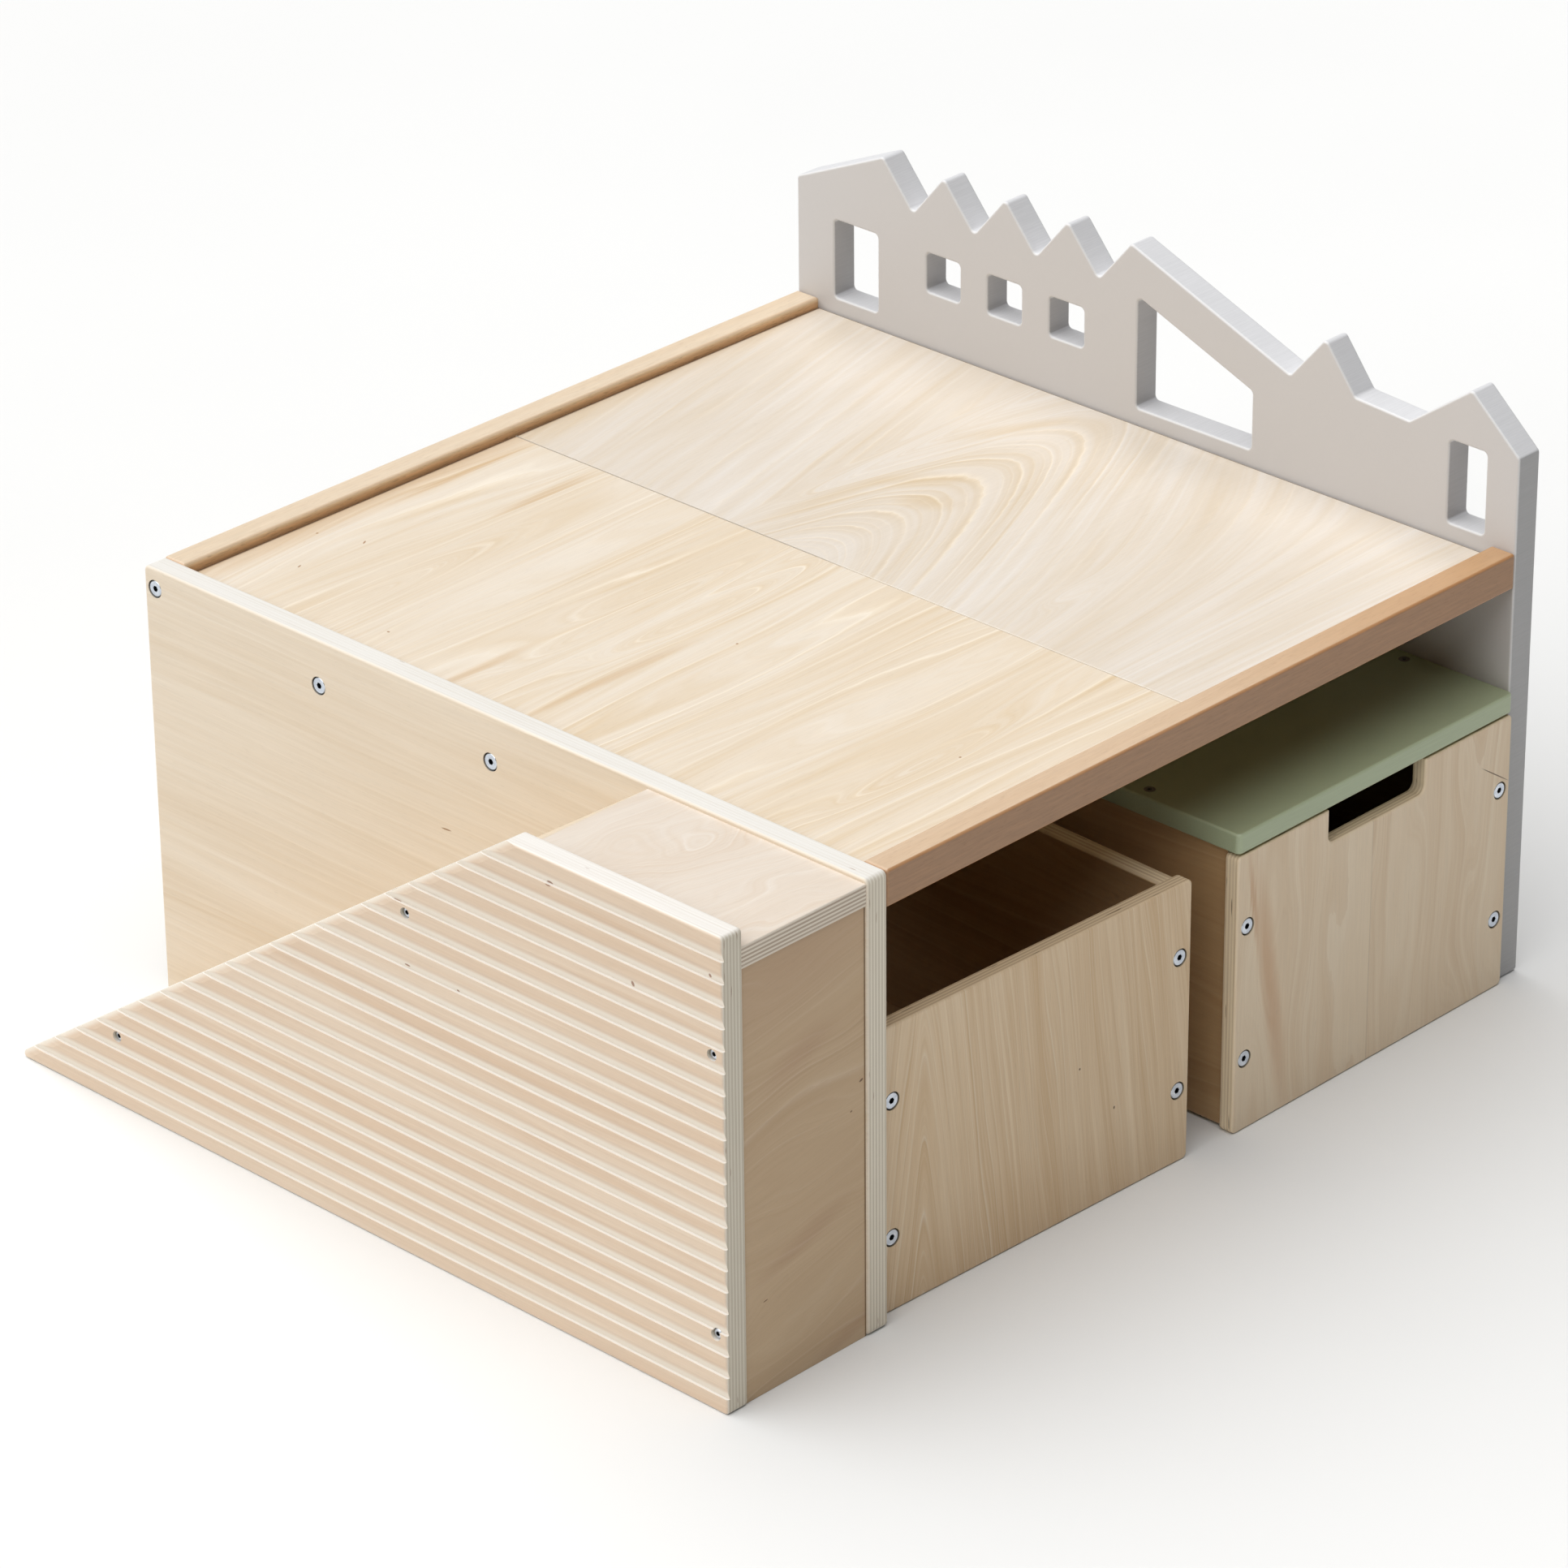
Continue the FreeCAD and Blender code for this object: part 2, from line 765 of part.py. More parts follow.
def make_tower_boards():
    back = dim.tower_setback + dim.tower_thick
    front = rectangle(dim.tower_setback, back, zero, platform_under)
    body = board("tower_front_board", table_place, "YZ", front, -dim.tower_width, dim.tower_width)
    bore_for_screws(body, tower_seats[:2])

    top = rectangle(dim.platform_setback, platform_rear, platform_under, platform_top)
    body = board("tower_platform", table_place, "YZ", top, -dim.tower_width, dim.tower_width)
    round_edges(body, dim.fine_round, front_top_edge)
    drill(body, "YZ", -dim.tower_width, dowel_seats, dim.dowel_size, dim.dowel_reach)
    drill(body, "YZ", zero, dowel_seats, dim.dowel_size, dim.dowel_reach, False)

    fall = dim.tower_thick * ramp_stretch
    nose = ramp_foot - dim.ramp_nose / ramp_slope
    ramp = [
        (platform_rear, platform_top),
        (platform_rear, platform_top - fall),
        (ramp_foot - fall / ramp_slope, zero),
        (nose, zero),
        (nose, dim.ramp_nose),
    ]
    body = board("ramp_board", table_place, "YZ", ramp, -dim.tower_width, dim.tower_width)
    bore_for_screws(body, tower_seats[2:])


def make_tower_screws(label, face, along):
    # heads sit at the bottom of their wells in the cheek
    body = new_body(label, table_place)
    for station, height in tower_seats:
        turned_pin(body, "XZ", station, (face, height), along, wood_screw_profile())
    sketch = new_sketch(body, "YZ", face)
    for seat in tower_seats:
        draw_outline(sketch, hexagon(seat, dim.screw_key))
    pocket(body, sketch, "YZ", dim.screw_head_height / 2, along == "right")


def make_dowels():
    body = new_body("platform_dowels", table_place)
    length = dim.dowel_depth + dim.dowel_reach
    sketch = new_sketch(body, "YZ", -dim.tower_width - dim.dowel_depth)
    for seat in dowel_seats:
        draw_circle(sketch, seat, dim.dowel_size)
    dowels = pad(body, sketch, "YZ", length)
    repeat(body, [dowels], "YZ", dim.tower_width + dim.dowel_depth * 2 - length, 2)


def box_bolt_seats(height):
    stations = (board_middle, box_width - board_middle)
    heights = (dim.box_bolt_inset, height - dim.box_bolt_inset)
    return [(across, up) for across in stations for up in heights]


def make_box_end(label, place, level, outer_first, grip=False):
    # a front or back board with its four bolt wells on the outer side
    outline = rectangle(zero, box_width, zero, front_height)
    body = board(label, place, "XZ", outline, level, dim.front_thick)
    round_edges(body, dim.front_corner, crosses("Y"))
    if grip:
        left = (box_width - dim.grip_width) / 2
        floor = front_height - dim.grip_depth
        notch = rectangle(left, left + dim.grip_width, floor, front_height + dim.grip_depth)
        cut_outline(body, "XZ", level, notch, dim.front_thick)

        def grip_floor(edge):
            at_floor = abs(edge.BoundBox.ZMax - floor.value) < nearness
            return crosses("Y")(edge) and at_floor

        round_edges(body, dim.grip_corner, grip_floor)
    round_edges(body, dim.edge_round, rims("Y"))
    outer = level if outer_first else level + dim.front_thick
    seats = box_bolt_seats(front_height)
    drill(body, "XZ", outer, seats, dim.bolt_well, dim.bolt_well_depth, outer_first)
    drill(body, "XZ", outer, seats, dim.bolt_hole, dim.front_thick, outer_first)


def make_box_side(label, place, level, top, inner_high):
    # a side board between front and back, grooved for the bottom and bored for bolts and nuts
    front = dim.front_thick
    back = box_depth - dim.front_thick
    body = board(label, place, "YZ", rectangle(front, back, dim.board_lift, top), level, dim.board_thick)
    round_edges(body, dim.fine_round, crosses("Y"))
    inner_face = level + dim.board_thick if inner_high else level
    groove_left = inner_face - dim.bottom_groove if inner_high else inner_face
    groove_top = dim.bottom_lift + dim.bottom_thick + dim.bottom_play
    groove = rectangle(groove_left, groove_left + dim.bottom_groove, dim.bottom_lift, groove_top)
    cut_outline(body, "XZ", front, groove, back - front)

    heights = (dim.box_bolt_inset, front_height - dim.box_bolt_inset)
    middle = level + dim.board_thick / 2
    reach = bolt_reach(dim.box_bolt, dim.front_thick)
    bolts = [(middle, up) for up in heights]
    drill(body, "XZ", front, bolts, dim.bolt_hole, reach)
    drill(body, "XZ", back, bolts, dim.bolt_hole, reach, False)
    stations = (front + dim.nut_setback, back - dim.nut_setback)
    nuts = [(along, up) for along in stations for up in heights]
    depth = (dim.board_thick + dim.box_nut_length) / 2
    drill(body, "YZ", inner_face, nuts, dim.nut_size, depth, not inner_high)
    return body


def make_box_bolts(label, place):
    # four bolts through the front, four through the back
    body = new_body(label, place)
    rise = front_height - dim.box_bolt_inset * 2
    span = box_width - board_middle * 2
    front_well = dim.bolt_well_depth - dim.bolt_head_height
    back_well = box_depth - front_well
    copied = []
    for level, along in ((front_well, "right"), (back_well, "left")):
        seat = (level, dim.box_bolt_inset)
        profile = cap_bolt_profile(dim.box_bolt)
        copied.append(turned_pin(body, "YZ", board_middle, seat, along, profile))
        sketch = new_sketch(body, "XZ", level)
        draw_outline(sketch, hexagon((board_middle, dim.box_bolt_inset), dim.hex_key))
        copied.append(pocket(body, sketch, "XZ", dim.hex_depth, along == "right"))
    repeat(body, copied, "YZ", span, 2, "XY", rise, 2)


def make_box_nuts(label, place):
    # barrel nuts that lie in the side boards, crossed by the bolts
    body = new_body(label, place)
    half = dim.box_nut_length / 2
    first = dim.front_thick + dim.nut_setback
    heights = (dim.box_bolt_inset, front_height - dim.box_bolt_inset)
    sketch = new_sketch(body, "YZ", board_middle - half)
    for height in heights:
        draw_circle(sketch, (first, height), dim.nut_size)
    barrel = pad(body, sketch, "YZ", dim.box_nut_length)
    seats = [(board_middle, height) for height in heights]
    thread = drill(body, "XZ", first - dim.nut_size, seats, dim.nut_bore, dim.nut_size * 2)
    length = box_depth - first * 2
    span = box_width - board_middle * 2
    repeat(body, [barrel, thread], "XZ", length, 2, "YZ", span, 2)
    body.Tip.Reversed = True


def make_box(name, place, side_top, grip):
    back_level = box_depth - dim.front_thick
    make_box_end(name + "_front", place, zero, True, grip)
    make_box_end(name + "_back", place, back_level, False)

    left = dim.board_inset
    left_inner = left + dim.board_thick
    right = box_width - dim.board_inset - dim.board_thick
    sides = [
        make_box_side(name + "_left_side", place, left, side_top, True),
        make_box_side(name + "_right_side", place, right, side_top, False),
    ]

    tongue = dim.bottom_groove - dim.bottom_play
    outline = rectangle(left_inner - tongue, right + tongue, dim.front_thick, back_level)
    board(name + "_bottom", place, "XY", outline, dim.bottom_lift, dim.bottom_thick)
    make_box_bolts(name + "_bolts", place)
    make_box_nuts(name + "_barrel_nuts", place)
    return sides


def make_seat(sides):
    # the seat board, the screws along both its sides and their holes in the side boards
    under = front_height + dim.lid_gap
    outline = rectangle(zero, box_width, zero, box_depth)
    body = board("bench_seat", bench_place, "XY", outline, under, dim.lid_thick)
    soften(body, "Z", dim.front_corner, dim.lid_round)
    top = under + dim.lid_thick
    span = box_width - board_middle * 2
    length = box_depth - dim.lid_screw_inset * 2
    cone = dim.lid_screw_head / 2 - dim.screw_size / 2

    # countersunk holes, one row above each side board
    seat = (board_middle, top)
    hole = [
        (zero, zero),
        (zero, dim.lid_screw_head / 2),
        (cone, dim.screw_hole / 2),
        (dim.lid_thick, dim.screw_hole / 2),
        (dim.lid_thick, zero),
    ]
    countersink = turned_groove(body, "XZ", dim.lid_screw_inset, seat, hole)
    repeat(body, [countersink], "XZ", length, dim.lid_screw_count, "YZ", span, 2)
    body.Tip.Reversed = True

    pilot = dim.lid_screw_length - dim.lid_thick + dim.tip_room
    for side, across in zip(sides, (board_middle, box_width - board_middle)):
        station = [(across, dim.lid_screw_inset)]
        hole = drill(side, "XY", under, station, dim.screw_hole, pilot, False)
        repeat(side, [hole], "XZ", length, dim.lid_screw_count)
        side.Tip.Reversed = True

    screws = new_body("seat_screws", bench_place)
    screw = turned_pin(screws, "XZ", dim.lid_screw_inset, seat, "down", countersunk_profile())
    sketch = new_sketch(screws, "XY", top)
    draw_outline(sketch, hexagon((board_middle, dim.lid_screw_inset), dim.screw_key))
    socket = pocket(screws, sketch, "XY", dim.hex_depth, False)
    repeat(screws, [screw, socket], "XZ", length, dim.lid_screw_count, "YZ", span, 2)
    screws.Tip.Reversed = True


make_side_panel()
make_skyline_panel()
make_rail("front_rail", rail_seats[0], False)
make_rail("back_rail", rail_seats[1], True)
for bearer_name, bearer_seat in zip(("front", "middle", "back"), bearer_seats):
    make_bearer(bearer_name + "_bearer", bearer_seat)
middle_x = dim.side_thick + dim.bay_width / 2
make_deck_panel("deck_panel_left", dim.side_thick + dim.deck_gap, middle_x - dim.deck_seam / 2)
make_deck_panel("deck_panel_right", middle_x + dim.deck_seam / 2, bay_end - dim.deck_gap)

rail_spacing = table_depth - dim.rail_width
bearer_run = dim.bearer_spacing * 2
near_head = dim.bolt_well_depth - dim.bolt_head_height
far_head = bay_end + dim.end_thick - near_head
make_bolts("side_rail_bolts", near_head, "right", rail_seats, rail_spacing)
make_bolts("side_bearer_bolts", near_head, "right", bearer_seats, bearer_run)
make_bolts("skyline_rail_bolts", far_head, "left", rail_seats, rail_spacing)
make_bolts("skyline_bearer_bolts", far_head, "left", bearer_seats, bearer_run)
make_bar_nuts("rail_barrel_nuts", rail_seats, rail_spacing)
make_bar_nuts("bearer_barrel_nuts", bearer_seats, bearer_run)

make_ribbed_panel()
make_tower_boards()
screw_sink = dim.screw_well_depth - dim.screw_head_height
make_tower_screws("ribbed_panel_screws", ribbed_outer + screw_sink, "right")
make_tower_screws("side_panel_screws", dim.side_thick - screw_sink, "left")
make_dowels()

make_box("box", box_place, front_height - dim.board_drop, False)
bench_sides = make_box("bench", bench_place, front_height + dim.lid_gap, True)
make_seat(bench_sides)

doc.recompute()
for item in doc.Objects:
    if "Invalid" in item.State or "Error" in item.State:
        raise RuntimeError("%s is not sound: %s" % (item.Name, item.State))
    if item.TypeId in ("PartDesign::Pocket", "PartDesign::Groove"):
        if item.Shape.Volume >= item.BaseFeature.Shape.Volume:
            raise RuntimeError("%s cuts nothing" % item.Name)
for piece in pieces:
    if piece.Shape.isNull() or not piece.Shape.isValid():
        raise RuntimeError("%s has no valid shape" % piece.Label)

os.makedirs("parts", exist_ok=True)
for piece in pieces:
    piece.Shape.exportStep("parts/%s.step" % piece.Label)
print("%d pieces written" % len(pieces))
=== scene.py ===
import math

import bpy
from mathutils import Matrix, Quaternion, Vector


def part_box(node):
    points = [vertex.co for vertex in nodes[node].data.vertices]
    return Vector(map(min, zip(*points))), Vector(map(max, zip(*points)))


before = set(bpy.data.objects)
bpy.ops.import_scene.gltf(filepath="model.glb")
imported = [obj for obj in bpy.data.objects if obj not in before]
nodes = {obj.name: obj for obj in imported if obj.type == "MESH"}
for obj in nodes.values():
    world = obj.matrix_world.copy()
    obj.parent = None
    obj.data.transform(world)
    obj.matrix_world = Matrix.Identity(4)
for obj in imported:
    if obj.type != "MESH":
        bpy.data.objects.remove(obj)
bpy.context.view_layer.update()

print("frame loaded:", len(nodes), "pieces")


def rgb(red, green, blue):
    # 0-255 screen colour to the linear colour that shaders take
    def straighten(part):
        part = part / 255
        return part / 12.92 if part <= 0.04045 else ((part + 0.055) / 1.055) ** 2.4
    return straighten(red), straighten(green), straighten(blue), 1.0


class Wire:
    # a socket that can be added, multiplied and so on, so that a finish reads as a formula
    def __init__(self, finish, socket):
        self.finish = finish
        self.socket = socket

    def __add__(self, other):
        return self.finish.math("ADD", self, other)

    def __sub__(self, other):
        return self.finish.math("SUBTRACT", self, other)

    def __rsub__(self, other):
        return self.finish.math("SUBTRACT", other, self)

    def __mul__(self, other):
        return self.finish.math("MULTIPLY", self, other)

    def __truediv__(self, other):
        return self.finish.math("DIVIDE", self, other)

    def __abs__(self):
        return self.finish.math("ABSOLUTE", self)

    def squared(self):
        return self.finish.math("MULTIPLY", self, self)

    def root(self):
        return self.finish.math("SQRT", self)

    def floor(self):
        return self.finish.math("FLOOR", self)

    def part(self):
        return self.finish.math("FRACT", self)

    def within(self, low, high):
        return self.finish.math("MINIMUM", self.finish.math("MAXIMUM", self, low), high)

    def rise(self, low, high):
        # soft step, 0 below low and 1 above high (or the other way round)
        node = self.finish.node("ShaderNodeMapRange", interpolation_type="SMOOTHSTEP")
        self.finish.feed(node.inputs[0], self)
        node.inputs[1].default_value = low
        node.inputs[2].default_value = high
        return Wire(self.finish, node.outputs[0])


class Finish:
    # one procedural material
    def __init__(self, name):
        self.material = bpy.data.materials.new(name)
        self.material.use_nodes = True
        self.tree = self.material.node_tree
        self.shader = self.tree.nodes["Principled BSDF"]
        coords = self.node("ShaderNodeTexCoord")
        self.place = Wire(self, coords.outputs["Object"])      # metres in the table's frame
        self.facing = Wire(self, coords.outputs["Normal"])

    def node(self, kind, **settings):
        node = self.tree.nodes.new(kind)
        for key, value in settings.items():
            setattr(node, key, value)
        return node

    def feed(self, socket, value):
        if isinstance(value, Wire):
            self.tree.links.new(value.socket, socket)
        else:
            socket.default_value = value

    def math(self, operation, first, second=None):
        node = self.node("ShaderNodeMath", operation=operation)
        self.feed(node.inputs[0], first)
        if second is not None:
            self.feed(node.inputs[1], second)
        return Wire(self, node.outputs[0])

    def dot(self, wire, direction):
        node = self.node("ShaderNodeVectorMath", operation="DOT_PRODUCT")
        self.feed(node.inputs[0], wire)
        node.inputs[1].default_value = direction
        return Wire(self, node.outputs["Value"])

    def along(self, direction):
        return self.dot(self.place, direction)

    def turned(self, direction):
        # 1 where the surface faces that way or its opposite, 0 where it is edge on
        return abs(self.dot(self.facing, direction))

    def noise(self, x, y, z=0.0, detail=2.0):
        # about -0.5 to 0.5
        join = self.node("ShaderNodeCombineXYZ")
        for socket, value in zip(join.inputs, (x, y, z)):
            self.feed(socket, value)
        node = self.node("ShaderNodeTexNoise")
        self.tree.links.new(join.outputs[0], node.inputs["Vector"])
        node.inputs["Scale"].default_value = 1.0
        node.inputs["Detail"].default_value = detail
        return Wire(self, node.outputs[0]) - 0.5

    def figure(self, u, v, size, seed, detail=2.0):
        # noise stretched along the grain; size in metres along and across it
        return self.noise(u / size[0], v / size[1], seed, detail)

    def mottle(self, size, detail):
        # noise alike in all directions
        return self.noise(*(self.along(way) / size for way in ((1, 0, 0), (0, 1, 0), (0, 0, 1))), detail)

    def mix(self, amount, first, second):
        node = self.node("ShaderNodeMix", data_type="RGBA")
        self.feed(node.inputs[0], amount)
        self.feed(node.inputs[6], first)
        self.feed(node.inputs[7], second)
        return Wire(self, node.outputs[2])

    def shade(self, colour, amount):
        node = self.node("ShaderNodeVectorMath", operation="SCALE")
        self.feed(node.inputs[0], colour)
        self.feed(node.inputs["Scale"], amount)
        return Wire(self, node.outputs[0])

    def nooks(self, reach):
        # 1 in the open, towards 0 in holes of the piece itself
        node = self.node("ShaderNodeAmbientOcclusion", only_local=True)
        node.inputs["Distance"].default_value = reach
        return Wire(self, node.outputs["AO"])

    def bump(self, height, depth, strength):
        # depth in metres for a height that goes from 0 to 1
        node = self.node("ShaderNodeBump")
        node.inputs["Strength"].default_value = strength
        node.inputs["Distance"].default_value = depth
        self.feed(node.inputs["Height"], height)
        return Wire(self, node.outputs[0])

    def done(self, colour, roughness, normal, **fixed):
        self.feed(self.shader.inputs["Base Color"], colour)
        self.feed(self.shader.inputs["Roughness"], roughness)
        self.feed(self.shader.inputs["Normal"], normal)
        for key, value in fixed.items():
            self.shader.inputs[key.replace("_", " ")].default_value = value
        return self.material


def dress(name, material):
    for place in nodes[name].material_slots:
        place.link = "OBJECT"
        place.material = material


def boardAxes(node, grain):
    # flat side, grain and the way across it; the flat side is the biggest triangle's
    flat = max(node.data.polygons, key=lambda side: side.area).normal.copy()
    grain = Vector(grain)
    grain = (grain - flat * grain.dot(flat)).normalized()
    across = flat.cross(grain)

    def upward(way):
        return way if max(way, key=abs) > 0 else -way
    return upward(flat), upward(grain), upward(across)


def spots(finish, u, v, marks, soft=0.3):
    # soft ellipses: place along the grain, place across it, half length, half width and lean in degrees
    total = None
    for along, across, length, width, *lean in marks:
        turn = math.radians(lean[0] if lean else 0.0)
        du, dv = u - along, v - across
        if turn:
            du, dv = du * math.cos(turn) + dv * math.sin(turn), dv * math.cos(turn) - du * math.sin(turn)
        mark = ((du / length).squared() + (dv / width).squared()).rise(1.0, soft)
        total = mark if total is None else total + mark
    return total.within(0.0, 1.0)


# birch plywood, shared by all boards; a board's own dictionary overrides what differs
birchLook = {
    "grain": (0, 1, 0),
    "plies": 13,
    "pale": (224, 206, 181),        # early wood
    "tan": (204, 175, 140),         # late wood
    "line": (235, 222, 202),        # thin pale line between two rings
    "ringGap": 0.024,               # metres across the grain for one ring
    "flow": None,                   # metres of coloured bands for one ring, where that isn't the ring gap
    "swell": 3.5,                   # rings that the layer rises and falls by
    "swellSize": (0.42, 0.055),     # along and across the grain, as all sizes here
    "years": (0.6, 1.5),            # how often good and bad years change, and the rings they shift
    "waver": 0.14,                  # rings that a line trembles by
    "waverSize": (0.04, 0.007),
    "hills": (),                    # along, across, length, width, rings high
    "heart": None,                  # nested arches, see archRings
    "clearSize": (0.26, 0.05),      # patches where the rings stand out
    "clearFineSize": (0.17, 0.03),  # and the fine lines between them
    "clearest": None,               # where both stand out most: along, across, length and width
    "joint": None,                  # two veneer leaves meet here: place across and shift of the figure
    "jointWidth": 0.0007,
    "jointDepth": 0.15,
    "ringDepth": 0.45,
    "lineDepth": 0.5,
    "fineLine": 0.5,                # fine lines, as part of that
    "cloud": 0.9,                   # broad bands of paler and darker wood
    "cloudSize": (0.5, 0.024),
    "streak": 0.5,                  # narrow ones
    "streakSize": (0.16, 0.0045),
    "hair": 0.7,                    # hair lines, as part of that
    "hairSize": (0.11, 0.0019),
    "tone": 0.3,                    # 0 is all early wood and 1 all late wood
    "fibre": 0.06,
    "fibreSize": (0.05, 0.0014),
    "poreSize": (0.008, 0.0008),
    "poreSink": 0.6,                # as part of the fibres' height
    "stains": (),                   # long darker bands, as spots
    "stain": (196, 158, 112),
    "stainDepth": 0.7,
    "stainSoft": -0.6,              # fades over its whole width
    "stainWaver": 0.008,            # metres that the narrow bands push its rim by
    "knots": (),                    # small dark marks, as spots
    "knot": (92, 60, 36),
    "knotDepth": 0.85,
    "shadeLines": (),                    # painted shade lines where parts meet, drawn as dark joints: direction, place, half width, strength and where it fades
    # colour of the veneer joint and of those painted shade lines
    "seam": (96, 70, 44),
    "skin": (0.9, 1.1),             # outer veneer ends at this depth, in layers
    "skinEdge": 0.6,                # how much its own edge looks like the others
    "groove": None,                 # layer that grooves in the face uncover
    "under": None,                  # browner veneer on the underside
    "underDepth": 0.85,
    "longEdge": (226, 223, 217),    # layers seen at the edges along the grain
    "endEdge": (238, 230, 213),     # and across it
    "darkEdge": (184, 170, 146),    # crossed layers
    "layers": (0.10, 0.48),         # how dark these look on the two kinds of edge
    "layerStreak": 0.3,             # paler and darker stretches of a layer
    "layerStreakSize": 0.05,
    "layerShade": 0.06,
    "wisp": 0.6,                    # wisps along a layer
    "wispSize": (0.12, 0.0016),     # length and height, as the gaps below
    "bores": 0.0,                   # metres; painted shade inside holes up to about this wide
    "boreLight": 0.15,              # what is left of the colour in that painted shade
    "glue": (140, 112, 82),
    "glueDepth": (0.05, 0.2),       # on long edges, and what the ends add
    "glueSink": 0.8,                # as part of the fibres' height
    "voids": (0.33, 0.38),          # gaps in the inner layers, fewer the higher these are
    "voidSize": (0.018, 0.0015),
    "voidDepth": 0.7,
    "roughness": 0.46,
    "fibreRough": 0.1,
    "edgeRough": 0.12,
    "relief": 0.0002,               # metres that fibres and glue lines stand out by
    "bump": 0.35,
    "shine": 0.35,
    "seed": 1.0,
}


def archRings(finish, u, v, heart):
    # arches one inside the other along a heart line; further out "turns" change which way the lines run
    side = ((v - heart["across"]).squared() + heart["round"] ** 2).root() * heart["spread"]
    for edge, way, ease in heart["eases"]:
        side = side - finish.math("MAXIMUM", (v - edge) * way, 0.0) * ease
    lean = heart["lean"]
    for low, high, change in heart["turns"]:
        lean = v.rise(low, high) * change + lean
    return ((u - heart["along"]) * lean + side) / heart["gap"]


def veneer(finish, u, v, look):
    # growth rings are contour lines of the uneven layer that the peeling knife went through
    seed = look["seed"]             # each noise adds its own step to it, so no two are alike
    w = v
    if look["joint"]:
        place, shift = look["joint"]
        w = v + finish.math("GREATER_THAN", v, place) * shift
    layer = finish.figure(u, w, look["swellSize"], seed, detail=1.0) * look["swell"]
    if look["heart"]:
        layer = layer + archRings(finish, u, w, look["heart"])
    else:
        layer = layer + w / look["ringGap"]
    for along, across, length, width, high in look["hills"]:
        far = ((u - along) / length).squared() + ((v - across) / width).squared()
        layer = layer + finish.math("EXPONENT", far * -1.0) * high
    often, shifted = look["years"]
    layer = layer + finish.noise(layer * often, seed + 2.3, detail=1.0) * shifted
    flow = layer * (look["flow"] or look["ringGap"])       # bands of colour follow the rings
    layer = layer + finish.figure(u, w, look["waverSize"], seed + 3.1) * look["waver"]
    ring = layer.part()
    strong = finish.noise(layer.floor() * 7.3, seed + 4.9, detail=0.0).rise(-0.3, 0.25)
    seam = (abs(ring - 0.5) * 2.0).rise(0.8, 0.99) * (strong * 0.7 + 0.3)
    fineRing = (layer * 3.0).part()
    fineSeam = (abs(fineRing - 0.5) * 2.0).rise(0.7, 1.0)
    clear = finish.figure(u, w, look["clearSize"], seed + 7.7).rise(-0.2, 0.18)
    clearFine = finish.figure(u, w, look["clearFineSize"], seed + 9.1).rise(-0.1, 0.2)
    if look["clearest"]:
        near = spots(finish, u, v, (look["clearest"],), soft=-0.2)
        clear = clear * (near * 0.6 + 0.4) + near * 0.3
        clearFine = clearFine * (near * 0.6 + 0.4) + near * 0.3

    # colour: broad bands, narrow bands, hair lines and the darker end of each ring
    cloud = finish.figure(u, flow, look["cloudSize"], seed + 11.3, detail=3.0)
    streak = finish.figure(u, flow, look["streakSize"], seed + 13.7)
    hair = finish.figure(u, flow, look["hairSize"], seed + 19.3, detail=1.0)
    late = (ring.squared() * (strong * 0.6 + 0.2) + fineRing * 0.3) * clear * look["ringDepth"]
    tone = cloud * look["cloud"] + (streak + hair * look["hair"]) * look["streak"] + late + look["tone"]
    colour = finish.mix(tone.within(0.0, 1.0), rgb(*look["pale"]), rgb(*look["tan"]))
    if look["stains"]:
        bands = spots(finish, u, v + streak * look["stainWaver"], look["stains"], look["stainSoft"])
        colour = finish.mix(bands * look["stainDepth"], colour, rgb(*look["stain"]))
    lines = (seam * clear + fineSeam * clearFine * look["fineLine"]) * look["lineDepth"]
    colour = finish.mix(lines.within(0.0, 1.0), colour, rgb(*look["line"]))

    fibre = finish.figure(u, v, look["fibreSize"], seed + 17.9, detail=3.0)
    pores = finish.figure(u, v, look["poreSize"], seed + 23.3, detail=1.0).rise(0.14, 0.28)
    colour = finish.shade(colour, fibre * look["fibre"] * 2.0 - pores * look["fibre"] + 1.0)
    if look["joint"]:
        touch = (abs(v - place) / look["jointWidth"]).rise(1.0, 0.2) * look["jointDepth"]
        colour = finish.mix(touch, colour, rgb(*look["seam"]))
    # painted shade lines where parts meet, drawn as dark joints
    for way, at, width, strength, *fade in look["shadeLines"]:
        touch = (abs(finish.along(way) - at) / width).rise(1.0, 0.4) * strength
        if fade:
            touch = touch * v.rise(*fade)
        colour = finish.mix(touch, colour, rgb(*look["seam"]))
    return colour, fibre - pores * look["poreSink"]


